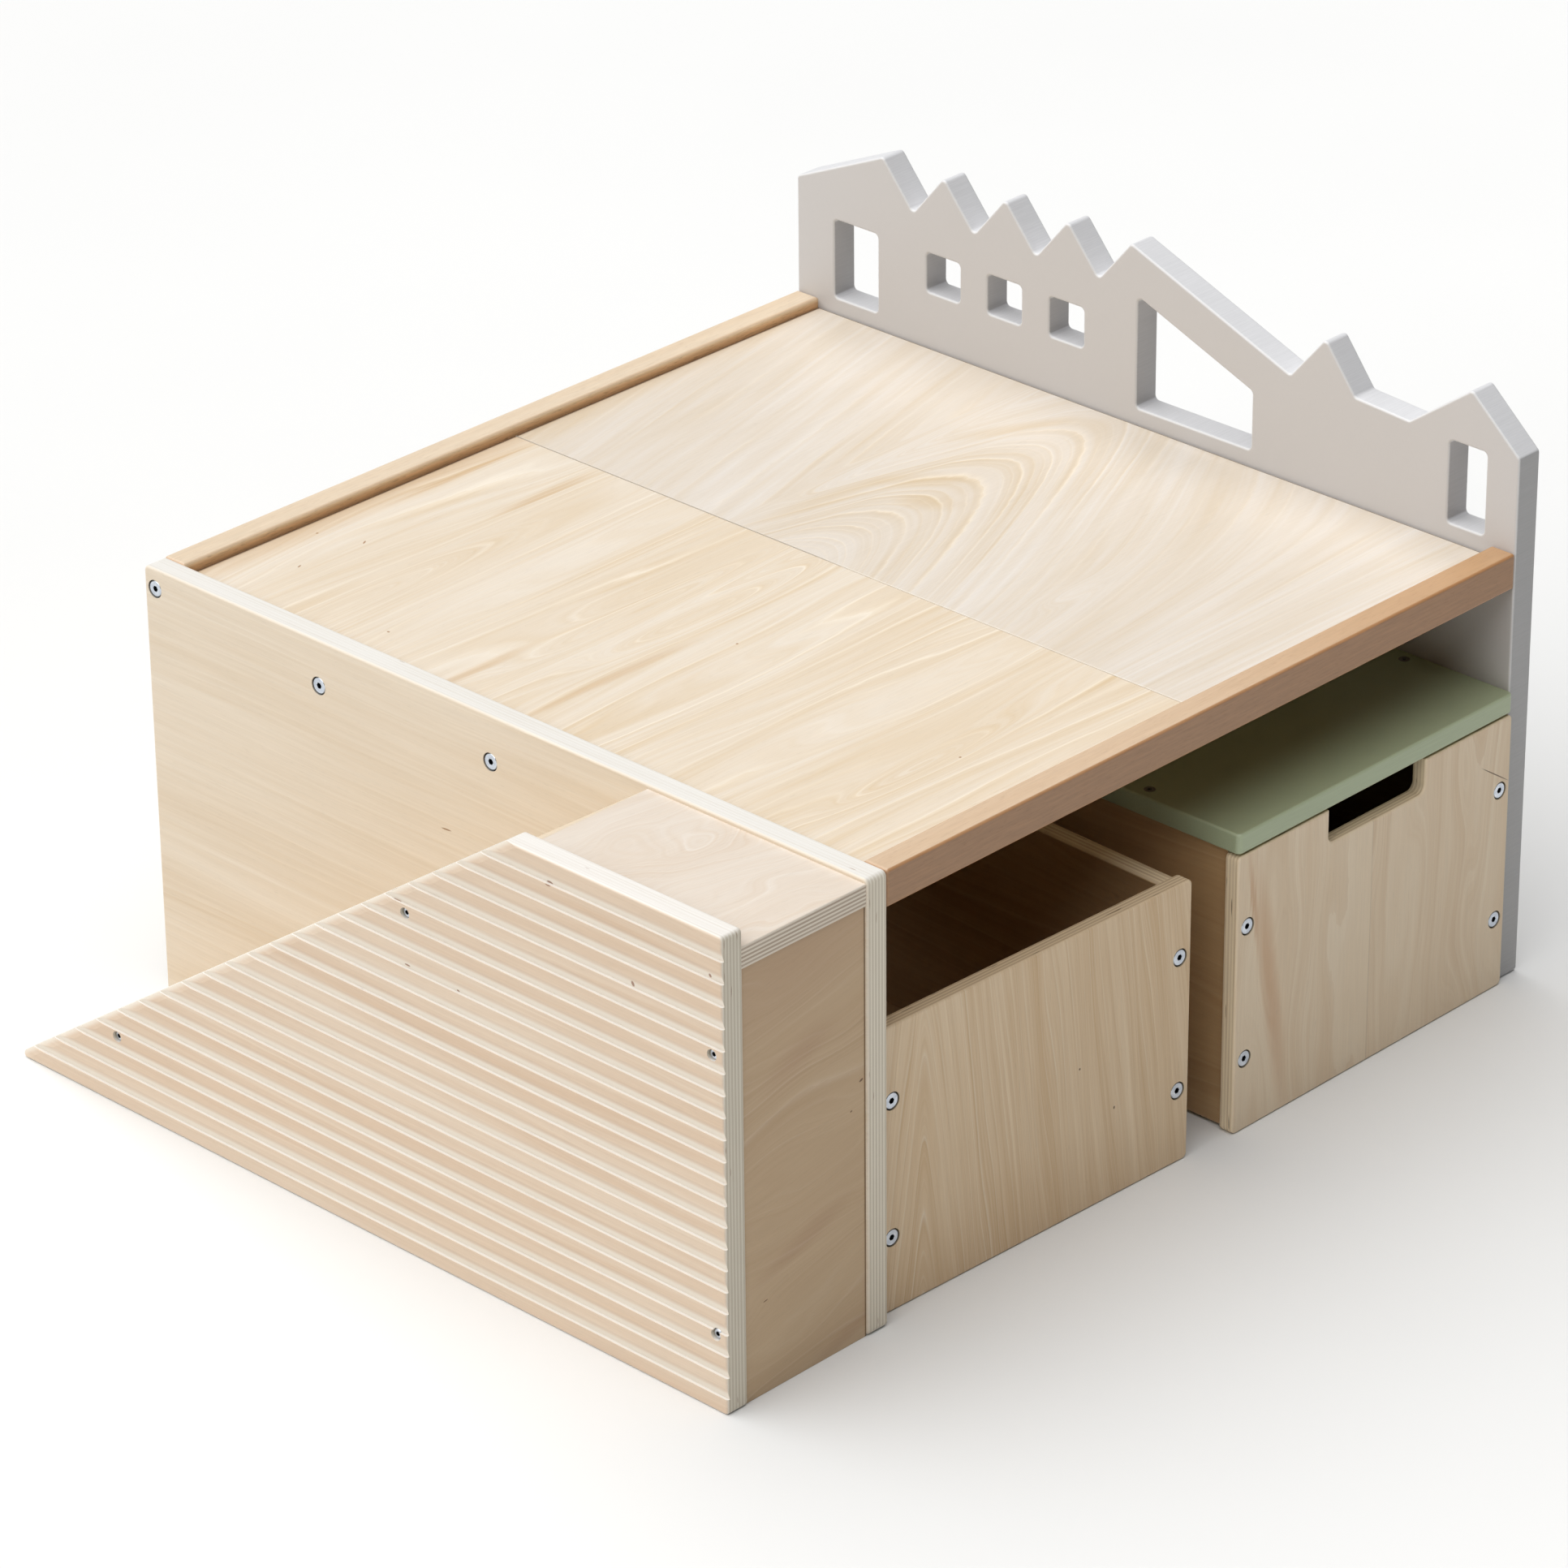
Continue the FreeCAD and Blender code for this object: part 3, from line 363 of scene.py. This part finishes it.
def birch(name, own):
    # face veneer outside, layers with crossing grain and glue lines between them at the edges
    look = birchLook | own
    node = nodes[name]
    finish = Finish(name + "_birch")
    flat, grain, across = boardAxes(node, look["grain"])
    u = finish.along(grain)
    v = finish.along(across)
    reach = [corner.co.dot(flat) for corner in node.data.vertices]
    thick = max(reach) - min(reach)
    ply = thick / look["plies"]

    veneerColour, relief = veneer(finish, u, v, look)
    depth = (finish.along(flat) - min(reach)).within(ply * 0.05, thick - ply * 0.05)
    fromFace = (thick / 2 - abs(depth - thick / 2)) / ply
    skin = fromFace.rise(look["skin"][1], look["skin"][0])
    layer = depth / ply
    crossed = (layer.floor() * 0.5).part() * 2.0
    edgeOn = 1.0 - finish.turned(flat).squared()
    endOn = finish.turned(grain).squared()

    # every layer has its own streaks; crossed layers look dark on the ends and faint on the long edges
    faint, plain = look["layers"]
    stretch = look["layerStreakSize"]
    streaks = finish.noise(u / stretch, v / stretch, layer.floor() * 3.7 + look["seed"], detail=3.0)
    length, height = look["wispSize"]
    wisps = finish.noise(u / length, v / length, depth / height + look["seed"]) * (1.0 - endOn)
    crossing = crossed * (endOn * (plain - faint) + faint)
    dark = (crossing + streaks * look["layerStreak"] + wisps * look["wisp"]) * edgeOn
    edge = finish.mix(endOn, rgb(*look["longEdge"]), rgb(*look["endEdge"]))
    bare = finish.mix(dark.within(0.0, 1.0), edge, rgb(*look["darkEdge"]))
    bare = finish.shade(bare, streaks * look["layerShade"] + 1.0)
    if look["groove"]:
        bare = finish.mix(edgeOn.rise(0.95, 0.5), bare, rgb(*look["groove"]))
    outside = finish.mix(edgeOn * look["skinEdge"], veneerColour, edge)
    colour = finish.mix(skin, bare, outside)
    if look["under"]:
        down = finish.dot(finish.facing, flat).rise(-0.5, -0.9)
        colour = finish.mix(down * look["underDepth"], colour, rgb(*look["under"]))
    # painted shade inside the counterbores
    if look["bores"]:
        lit = finish.nooks(look["bores"]).rise(0.35, 0.97)
        colour = finish.shade(colour, lit * (1.0 - look["boreLight"]) + look["boreLight"])
    if look["knots"]:
        marks = spots(finish, u, v, look["knots"]) * (1.0 - edgeOn)
        colour = finish.mix(marks * look["knotDepth"], colour, rgb(*look["knot"]))
    between = (abs(layer.part() - 0.5) * 2.0).rise(0.7, 1.0) * edgeOn * (1.0 - skin)
    onLong, onEnds = look["glueDepth"]
    colour = finish.mix(between * (endOn * onEnds + onLong), colour, rgb(*look["glue"]))
    length, height = look["voidSize"]
    gaps = finish.noise(u / length, v / length, depth / height, detail=0.0).rise(*look["voids"])
    gaps = gaps * edgeOn.rise(0.5, 0.9) * (1.0 - skin)
    colour = finish.mix(gaps * look["voidDepth"], colour, rgb(*look["knot"]))

    roughness = relief * look["fibreRough"] + edgeOn * look["edgeRough"] + look["roughness"]
    normal = finish.bump(relief - between * look["glueSink"], look["relief"], look["bump"])
    dress(name, finish.done(colour, roughness, normal, Specular_IOR_Level=look["shine"]))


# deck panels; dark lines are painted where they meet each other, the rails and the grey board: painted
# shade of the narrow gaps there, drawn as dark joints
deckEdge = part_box("deck_panel_left")[1].y
deckMiddle = (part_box("deck_panel_left")[1].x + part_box("deck_panel_right")[0].x) / 2
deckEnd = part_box("deck_panel_right")[1].x
deckShadeLines = (
    ((0, 1, 0), deckEdge, 0.0032, 0.95),
    ((0, 1, 0), -deckEdge, 0.0015, 0.8),
    ((1, 0, 0), deckMiddle, 0.0009, 0.8, -0.02, 0.03),
    ((1, 0, 0), deckEnd, 0.0016, 0.8),
)
deckBoard = {
    "grain": (1, 0, 0),
    "plies": 9,
    "under": (200, 170, 121),
    "shadeLines": deckShadeLines,
}
deckLeft = deckBoard | {
    "seed": 2.0,
    "pale": (226, 216, 202),
    "tan": (210, 186, 150),
    "swell": 3.2,
    "line": (242, 232, 215),
    "ringGap": 0.030,
    "ringDepth": 0.5,
    "lineDepth": 0.55,
    "streak": 0.6,
    "hills": ((-0.06, 0.048, 0.11, 0.010, 2.2), (-0.05, 0.014, 0.10, 0.012, 2.2),
              (-0.20, 0.197, 0.11, 0.012, 2.6), (-0.12, -0.240, 0.06, 0.007, 1.6)),
    "stains": ((0.007, 0.225, 0.060, 0.006), (-0.170, -0.008, 0.110, 0.005),
               (-0.215, 0.064, 0.070, 0.006), (0.0, 0.290, 0.090, 0.004),
               # the last band is darker along the back edge, next to the back rail
               (-0.10, deckEdge, 0.40, 0.028)),
    "stain": (196, 160, 112),
    "knot": (158, 118, 80),
    "knots": ((-0.1409, 0.2929, 0.0012, 0.0010), (-0.1292, 0.2589, 0.0030, 0.0008, 30),
              (-0.1845, 0.2634, 0.0025, 0.0008, 20), (-0.2129, 0.1469, 0.0010, 0.0014),
              (-0.0706, -0.0334, 0.0012, 0.0010), (-0.0922, -0.2501, 0.0012, 0.0010)),
}
deckRight = deckBoard | {
    "seed": 5.0,
    "pale": (221, 214, 206),
    "tan": (204, 184, 154),
    "flow": 0.012,
    "swell": 0.5,
    "swellSize": (0.3, 0.1),
    "ringDepth": 0.6,
    "lineDepth": 0.5,
    "streak": 0.6,
    "clearest": (0.20, 0.02, 0.20, 0.13),
    "heart": {
        "along": 0.08,
        "across": 0.026,
        "round": 0.04,              # blunt tips
        "spread": 2.7,              # longer arches
        "gap": 0.036,
        "lean": -0.08,
        "turns": ((-0.30, -0.04, 1.08), (0.088, 0.106, -1.35)),     # from, to and change of the lean
        "eases": ((0.055, 1, -1.8), (0.104, 1, 3.0)),               # place, side and easing beyond it
    },
    "hills": ((0.132, -0.142, 0.032, 0.007, 1.2),),
    "stains": ((0.13, 0.078, 0.095, 0.011, -8), (0.20, 0.050, 0.050, 0.014, -40),
               (0.175, 0.025, 0.030, 0.018, -60), (0.30, 0.065, 0.070, 0.010, -25),
               # the last band is darker along the back edge, next to the back rail
               (0.20, deckEdge, 0.40, 0.024)),
    "stain": (200, 172, 126),
    "stainDepth": 0.5,
}
birch("deck_panel_left", deckLeft)
birch("deck_panel_right", deckRight)

# table end with the bolts
sidePanel = {
    "seed": 8.0,
    "bores": 0.012,
    "pale": (227, 214, 195),
    "tan": (211, 190, 161),
    "swell": 1.6,
    "ringGap": 0.018,
    "ringDepth": 0.3,
    "lineDepth": 0.25,
    "knot": (140, 98, 50),
    "knots": ((0.0432, 0.2276, 0.0055, 0.0007, -4),),
}
birch("side_panel", sidePanel)

# tower: the ribs are cut through the outer veneer, which leaves a pale band along each
ribbedPanel = {
    "seed": 11.0,
    "pale": (219, 200, 178),
    "tan": (205, 176, 147),
    "cloud": 1.3,
    "swell": 1.4,
    "ringDepth": 0.25,
    "lineDepth": 0.2,
    "skin": (0.2, 0.9),
    "groove": (232, 222, 207),
    "longEdge": (232, 228, 222),
    "endEdge": (226, 219, 203),
    "knot": (134, 84, 52),
    "knots": ((-0.2531, 0.2756, 0.0016, 0.0026), (-0.3189, 0.3058, 0.0014, 0.0018),
              (-0.1824, 0.3190, 0.0032, 0.0018), (-0.0518, 0.2134, 0.0030, 0.0010),
              (-0.0973, 0.2119, 0.0015, 0.0010)),
}
towerFront = {
    "grain": (1, 0, 0.18),
    "plies": 11,
    "seed": 14.0,
    "pale": (204, 179, 146),
    "tan": (186, 156, 122),
    "swell": 4.5,
    "swellSize": (0.17, 0.06),
    "lineDepth": 0.14,
    # the first band darkens the top of the board: painted shade
    "stains": ((-0.268, 0.352, 0.150, 0.060), (-0.277, 0.280, 0.045, 0.016, 13),
               (-0.300, 0.150, 0.060, 0.010, 9), (-0.270, 0.060, 0.050, 0.008, 9)),
    "stain": (180, 146, 117),
    "stainDepth": 0.6,
    # dark line along the joint with the side panel: painted shade of that gap
    "shadeLines": (((1, 0, 0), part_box("tower_front_board")[1].x, 0.0016, 0.8),),
    "knots": ((-0.2300, 0.2310, 0.0022, 0.0010, 10), (-0.2422, 0.2144, 0.0012, 0.0007),
              (-0.3366, 0.1280, 0.0025, 0.0005)),
}
towerPlatform = {
    "grain": (1, -0.15, 0),
    "plies": 11,
    "seed": 17.0,
    "pale": (223, 214, 203),
    "tan": (209, 189, 167),
    "line": (233, 226, 217),
    "swell": 3.2,
    "swellSize": (0.07, 0.04),
    "ringDepth": 0.45,
    "lineDepth": 0.35,
    "hills": ((-0.253, -0.268, 0.045, 0.028, 1.2),),
    "longEdge": (232, 222, 206),
    "darkEdge": (150, 122, 96),
    "layers": (0.6, 0.6),
}
rampBoard = {
    "plies": 11,
    "seed": 20.0,
    "pale": (218, 205, 186),
    "tan": (205, 187, 161),
}
birch("ribbed_panel", ribbedPanel)
birch("tower_front_board", towerFront)
birch("tower_platform", towerPlatform)
birch("ramp_board", rampBoard)

# storage box and bench, thinner boards with browner edges; the fronts have upright grain
thinBoard = {
    "grain": (0, 0, 1),
    "plies": 9,
    "longEdge": (245, 227, 195),
    "endEdge": (238, 217, 184),
    "darkEdge": (184, 152, 114),
    "layers": (0.35, 0.5),
    "bores": 0.012,
    "voids": (0.26, 0.32),
}
boxFront = thinBoard | {
    "seed": 23.0,
    "pale": (231, 209, 178),
    "tan": (204, 170, 126),
    "flow": 0.012,
    "swell": 2.0,
    "swellSize": (0.3, 0.03),
    "cloud": 1.1,
    "streak": 0.7,
    "heart": {
        "along": 0.0,
        "across": -0.191,
        "round": 0.004,
        "spread": 7.8,
        "gap": 0.050,
        "lean": 1.0,
        "turns": (),
        "eases": (),
    },
    # this band makes the lower part darker and more orange towards the floor: painted shade
    "stains": ((-0.005, -0.100, 0.080, 0.180),),
    "stain": (186, 146, 98),
    "stainDepth": 0.35,
    "knots": ((0.0661, -0.0159, 0.0014, 0.0010), (0.1076, -0.0487, 0.0010, 0.0010)),
}
benchFront = thinBoard | {
    "seed": 33.0,
    "pale": (235, 218, 192),
    "tan": (214, 186, 152),
    "swell": 3.0,
    "swellSize": (0.20, 0.05),
    "ringGap": 0.035,
    "lineDepth": 0.15,
    "joint": (0.222, 0.37),
    "stains": ((0.100, 0.119, 0.125, 0.012, -9), (0.170, 0.100, 0.050, 0.004, -8)),
    "stain": (194, 142, 94),
    "knots": ((0.1676, 0.3515, 0.0205, 0.0005, 124),),
}
birch("box_front", boxFront)
birch("bench_front", benchFront)

# their other boards are plainer; sides and bottoms are darker and browner all over: painted shade of the
# bay under the table
backBoard = thinBoard | {
    "seed": 47.0,
    "pale": (226, 205, 174),
    "tan": (206, 176, 136),
    "lineDepth": 0.2,
}
shadedSideBoard = thinBoard | {
    "grain": (0, 1, 0),
    "seed": 49.3,
    # darker, browner copy of the birch: painted shade
    "pale": (193, 160, 118),
    "tan": (171, 135, 95),
    "line": (203, 172, 132),
    "lineDepth": 0.3,
}
shadedBottomBoard = shadedSideBoard | {"plies": 7, "seed": 53.9}
otherBoards = {"back": backBoard, "left_side": shadedSideBoard, "right_side": shadedSideBoard, "bottom": shadedBottomBoard}
for place, piece in enumerate(("box_", "bench_")):
    for part, board in otherBoards.items():
        figure = board["seed"] + place * 12.0 + len(part)       # no two boards alike
        birch(piece + part, board | {"seed": figure})
print("plywood boards dressed")


# solid beech rails, bearers and dowels
beechLook = {
    "grain": (1, 0, 0),
    "light": (214, 190, 163),
    "dark": (200, 170, 139),
    "sideShade": (162, 123, 90),        # upright sides painted darker and redder: painted shade
    "sideShadeDepth": 0.9,
    "warm": None,                   # one end of the board more orange: colour, and where it starts and ends
    "warmDepth": 0.9,
    "sideHighlight": None,                  # painted highlight: sides paler near the top; colour, and metres below it where that fades
    "worn": (186, 134, 88),         # rubbed corners
    "wornDepth": 0.8,
    "end": (176, 134, 98),
    "endDepth": 0.8,
    "band": 0.7,                    # broad bands of the two woods
    "bandSize": (0.7, 0.009),       # along and across the grain, as all sizes here
    "fibre": (0.2, 0.25),           # on top, and what the sides add
    "fibreSize": (0.028, 0.0017),
    "fleck": (132, 92, 62),
    "fleckDepth": (0.1, 0.15),      # on top, and what the sides add
    "fleckSize": (0.0075, 0.0011),
    "fleckSink": 0.5,               # as part of the fibres' height
    "roughness": 0.42,
    "fibreRough": 0.12,
    "wornShine": 0.08,              # rubbed corners are this much smoother
    "relief": 0.0002,
    "bump": 0.35,
    "shine": 0.4,
    "seed": 40.0,
}


def beech(name, own):
    look = beechLook | own
    finish = Finish(name + "_beech")
    lengthWay = Vector(look["grain"])
    wide = Vector((lengthWay.y, lengthWay.z, lengthWay.x))
    high = lengthWay.cross(wide)
    u, v, w = finish.along(lengthWay), finish.along(wide), finish.along(high)

    def drawn(size, detail):
        length, width = size
        return finish.noise(u / length + look["seed"], v / width, w / width, detail)
    bands = drawn(look["bandSize"], 2.0)
    fibre = drawn(look["fibreSize"], 3.0)
    flecks = drawn(look["fleckSize"], 1.0).rise(0.05, 0.25)
    bands = (bands * look["band"] + 0.5).within(0.0, 1.0)
    colour = finish.mix(bands, rgb(*look["light"]), rgb(*look["dark"]))
    if look["warm"]:
        tint, start, stop = look["warm"]
        colour = finish.mix(u.rise(start, stop) * look["warmDepth"], colour, rgb(*tint))
    # upright sides get a painted shade colour and, where given, a painted highlight just under their top
    upright = finish.turned((0, 0, 1)).rise(0.8, 0.3)
    sideShade = rgb(*look["sideShade"])
    if look["sideHighlight"]:
        tint, start, stop = look["sideHighlight"]
        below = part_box(name)[1].z - finish.along((0, 0, 1))
        sideShade = finish.mix(below.rise(stop, start), sideShade, rgb(*tint))
    colour = finish.mix(upright * look["sideShadeDepth"], colour, sideShade)
    onTop, onSides = look["fleckDepth"]
    colour = finish.mix(flecks * (upright * onSides + onTop), colour, rgb(*look["fleck"]))
    corner = (finish.turned(wide) * finish.turned(high)).rise(0.2, 0.45)
    colour = finish.mix(corner * look["wornDepth"], colour, rgb(*look["worn"]))
    end = finish.turned(lengthWay).squared()
    colour = finish.mix(end * look["endDepth"], colour, rgb(*look["end"]))
    onTop, onSides = look["fibre"]
    colour = finish.shade(colour, fibre * (upright * onSides + onTop) + 1.0)
    roughness = fibre * look["fibreRough"] - corner * look["wornShine"] + look["roughness"]
    normal = finish.bump(fibre - flecks * look["fleckSink"], look["relief"], look["bump"])
    dress(name, finish.done(colour, roughness, normal, Specular_IOR_Level=look["shine"]))


frontRail = {
    "warm": ((188, 148, 108), -0.02, 0.36),
}
backRail = {
    "light": (227, 212, 191),
    "dark": (213, 188, 157),
    # upright sides painted orange: painted warm light and shade, with a paler painted highlight just under
    # the top
    "sideShade": (246, 193, 136),
    "sideShadeDepth": 0.85,
    "sideHighlight": ((255, 228, 190), 0.0010, 0.0052),
    "worn": (232, 204, 172),
    "seed": 43.3,
}
beech("front_rail", frontRail)
beech("back_rail", backRail)
beech("front_bearer", {"seed": 46.6})
beech("middle_bearer", {"seed": 49.9})
beech("back_bearer", {"seed": 53.2})
beech("platform_dowels", {"grain": (0, 0, 1), "seed": 60.0})
print("beech dressed")

# painted boards: a smooth sprayed face; edges darker as painted shade, edges that face up paler as painted
# highlight, and corners rubbed paler
sprayed = {
    "peel": 0.02,                   # tiny dimples of the sprayed coat
    "peelSize": 0.0022,             # metres, as the next two sizes
    "peelRough": 0.06,
    "cloud": 0.03,                  # broad paler and darker patches
    "cloudSize": 0.12,
    "cloudRough": 0.08,
    "cutter": 0.18,                 # faint marks straight through the thickness
    "cutterSize": (0.03, 0.0012),   # length and width
    "cutterSink": 1.5,              # as part of the dimples' height
    "endShadeStart": (0.96, 0.98),       # part of the half length where the painted shade of an end begins
    "rubbedDepth": 0.6,
    "relief": 0.00012,
    "bump": 0.4,
}
greyPaint = sprayed | {
    "face": (203, 199, 196),
    # edges darker than the face and upright ends darker still: painted shade; edges that face up paler:
    # painted highlight
    "edge": (178, 176, 176),
    "end": (168, 167, 167),         # upright ends of the board, darker: painted shade
    "ridgeHighlight": (216, 216, 218),       # edges that face up, paler: painted highlight
    "rubbed": (220, 219, 218),      # rounded corners
    "flat": (1, 0, 0),
    "roughness": 0.42,
}
greenPaint = sprayed | {
    # the face is darker than its edges: painted shade of the table over the seat
    "face": (158, 167, 135),
    "edge": (171, 182, 150),
    "end": (171, 182, 150),
    "ridgeHighlight": (171, 182, 150),
    "rubbed": (180, 191, 160),
    "flat": (0, 0, 1),
    "roughness": 0.36,
}


def paint(name, look):
    finish = Finish(name + "_paint")
    low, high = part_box(name)
    x, y, z = (finish.along(way) for way in ((1, 0, 0), (0, 1, 0), (0, 0, 1)))
    edgeOn = finish.turned(look["flat"]).rise(0.95, 0.4)
    peel = finish.mottle(look["peelSize"], 2.0)
    cloud = finish.mottle(look["cloudSize"], 3.0)
    length, width = look["cutterSize"]
    cutter = finish.noise(x / length, (y + z) / width, (y - z) / width) * edgeOn
    # edges and ends get painted shade, edges that face up a painted highlight
    middle, half = (low.y + high.y) / 2, (high.y - low.y) / 2
    end = abs(y - middle).rise(*(half * start for start in look["endShadeStart"]))
    edge = finish.mix(end, rgb(*look["edge"]), rgb(*look["end"]))
    edge = finish.mix(finish.turned((0, 0, 1)).rise(0.3, 0.7), edge, rgb(*look["ridgeHighlight"]))
    colour = finish.mix(edgeOn, rgb(*look["face"]), edge)
    corner = finish.turned(look["flat"])
    corner = corner.rise(0.25, 0.5) * corner.rise(0.97, 0.85)
    colour = finish.mix(corner * look["rubbedDepth"], colour, rgb(*look["rubbed"]))
    uneven = cloud * look["cloud"] + peel * look["peel"] + cutter * look["cutter"]
    colour = finish.shade(colour, uneven + 1.0)
    roughness = cloud * look["cloudRough"] + peel * look["peelRough"] + look["roughness"]
    normal = finish.bump(peel + cutter * look["cutterSink"], look["relief"], look["bump"])
    dress(name, finish.done(colour, roughness, normal))


paint("skyline_panel", greyPaint)
paint("bench_seat", greenPaint)
print("painted boards dressed")

# bolts, barrel nuts and screws
steel = {
    "bloom": 1.6,                   # dull patches
    "bloomSize": 0.004,             # metres, as the scratches' size and the relief
    "bloomRough": 0.2,
    "dullness": 0.4,                # 0 is all bright and 1 all dull
    "scratchSize": 0.0006,
    "scratchRough": 0.1,
    "shadeLeft": 0.08,                 # what is left of the colour in the painted shade of hollows
    "relief": 0.00006,
    "bump": 0.4,
}
zincPlate = steel | {
    "bright": (222, 228, 236),
    "dull": (176, 184, 196),
    "roughness": 0.3,
    "metallic": 1.0,
    "hollowShade": 0.004,                # metres; painted shade in the key's socket and the slots
    "pieces": ("side_rail_bolts", "side_bearer_bolts", "skyline_rail_bolts", "skyline_bearer_bolts",
               "rail_barrel_nuts", "bearer_barrel_nuts", "box_bolts", "box_barrel_nuts",
               "bench_bolts", "bench_barrel_nuts", "ribbed_panel_screws", "side_panel_screws"),
}
blackOxide = steel | {
    "bright": (128, 124, 116),
    "dull": (84, 80, 74),
    "roughness": 0.42,
    "metallic": 0.4,
    "hollowShade": 0.002,
    "pieces": ("seat_screws",),
}


def metal(kind, look):
    finish = Finish(kind)
    bloom = finish.mottle(look["bloomSize"], 3.0)
    scratch = finish.mottle(look["scratchSize"], 3.0)
    dull = (bloom * look["bloom"] + look["dullness"]).within(0.0, 1.0)
    colour = finish.mix(dull, rgb(*look["bright"]), rgb(*look["dull"]))
    # painted shade in the piece's own hollows
    lit = finish.nooks(look["hollowShade"]).rise(0.3, 0.9)
    colour = finish.shade(colour, lit * (1.0 - look["shadeLeft"]) + look["shadeLeft"])
    roughness = bloom * look["bloomRough"] + scratch * look["scratchRough"] + look["roughness"]
    normal = finish.bump(scratch, look["relief"], look["bump"])
    material = finish.done(colour, roughness, normal, Metallic=look["metallic"])
    for name in look["pieces"]:
        dress(name, material)


metal("zinc_plate", zincPlate)
metal("black_oxide", blackOxide)
print("fasteners dressed")

# pale floor that reaches past the view
floorLook = {
    "reach": 16.0,
    "pale": (232, 232, 231),
    "shade": (226, 226, 225),
    "cloudSize": (0.7, 0.7),        # metres, as all sizes here
    "cloudRough": 0.05,
    "gritSize": (0.004, 0.004),
    "roughness": 0.75,
    "relief": 0.0002,
    "bump": 0.1,
    "shine": 0.2,
    "drop": 0.0002,                 # lies this far under the feet
}


def makeFloor(look):
    finish = Finish("pale_floor")
    x, y = finish.along((1, 0, 0)), finish.along((0, 1, 0))
    cloud = finish.figure(x, y, look["cloudSize"], 0.0, detail=3.0)
    grit = finish.figure(x, y, look["gritSize"], 0.0)
    colour = finish.mix(cloud + 0.5, rgb(*look["pale"]), rgb(*look["shade"]))
    roughness = cloud * look["cloudRough"] + look["roughness"]
    normal = finish.bump(grit, look["relief"], look["bump"])
    material = finish.done(colour, roughness, normal, Specular_IOR_Level=look["shine"])
    reach = look["reach"]
    mesh = bpy.data.meshes.new("studio_floor")
    corners = [(-reach, -reach, 0), (reach, -reach, 0), (reach, reach, 0), (-reach, reach, 0)]
    mesh.from_pydata(corners, [], [(0, 1, 2, 3)])
    mesh.materials.append(material)
    floor = bpy.data.objects.new("studio_floor", mesh)
    bpy.context.scene.collection.objects.link(floor)
    floor.location.z = -look["drop"]


makeFloor(floorLook)

# soft overhead key from behind, leaning to the ramp's side, and a dim even room
light = {
    "from": (-0.323, 0.261, 0.91),
    "spread": 100.0,                 # degrees, as wide as a big softbox close by
    "power": 4.25,
    "room": 0.04,
    "roomColour": (255, 255, 255),
}


def lightUp(look):
    lamp = bpy.data.lights.new("key", "SUN")
    lamp.energy = look["power"]
    lamp.angle = math.radians(look["spread"])
    key = bpy.data.objects.new("key", lamp)
    bpy.context.scene.collection.objects.link(key)
    key.location = look["from"]
    key.rotation_euler = Vector(look["from"]).to_track_quat("Z", "Y").to_euler()
    room = bpy.data.worlds.new("studio")
    room.use_nodes = True
    sky = room.node_tree.nodes["Background"]
    sky.inputs["Color"].default_value = rgb(*look["roomColour"])
    sky.inputs["Strength"].default_value = look["room"]
    bpy.context.scene.world = room
    bpy.context.scene.view_settings.view_transform = "Standard"


lightUp(light)

# the photo's camera
photoCamera = {
    "place": (-2.96779, -2.86710, 2.29845),
    "aim": (-0.02993, -0.03550, 0.2),
    "roll": -0.525,
    "lens": 158.74,
    "sensor": 36.0,
    "far": 100.0,                   # metres; sees no further
}


def setCamera(look):
    camera = bpy.data.cameras.new("camera")
    camera.lens = look["lens"]
    camera.sensor_width = look["sensor"]
    camera.clip_end = look["far"]
    view = bpy.data.objects.new("camera", camera)
    bpy.context.scene.collection.objects.link(view)
    view.location = look["place"]
    way = Vector(look["aim"]) - Vector(look["place"])
    turn = way.to_track_quat("-Z", "Y") @ Quaternion((0, 0, 1), math.radians(look["roll"]))
    view.rotation_mode = "QUATERNION"
    view.rotation_quaternion = turn
    bpy.context.scene.camera = view


setCamera(photoCamera)
print("floor, light and camera set")
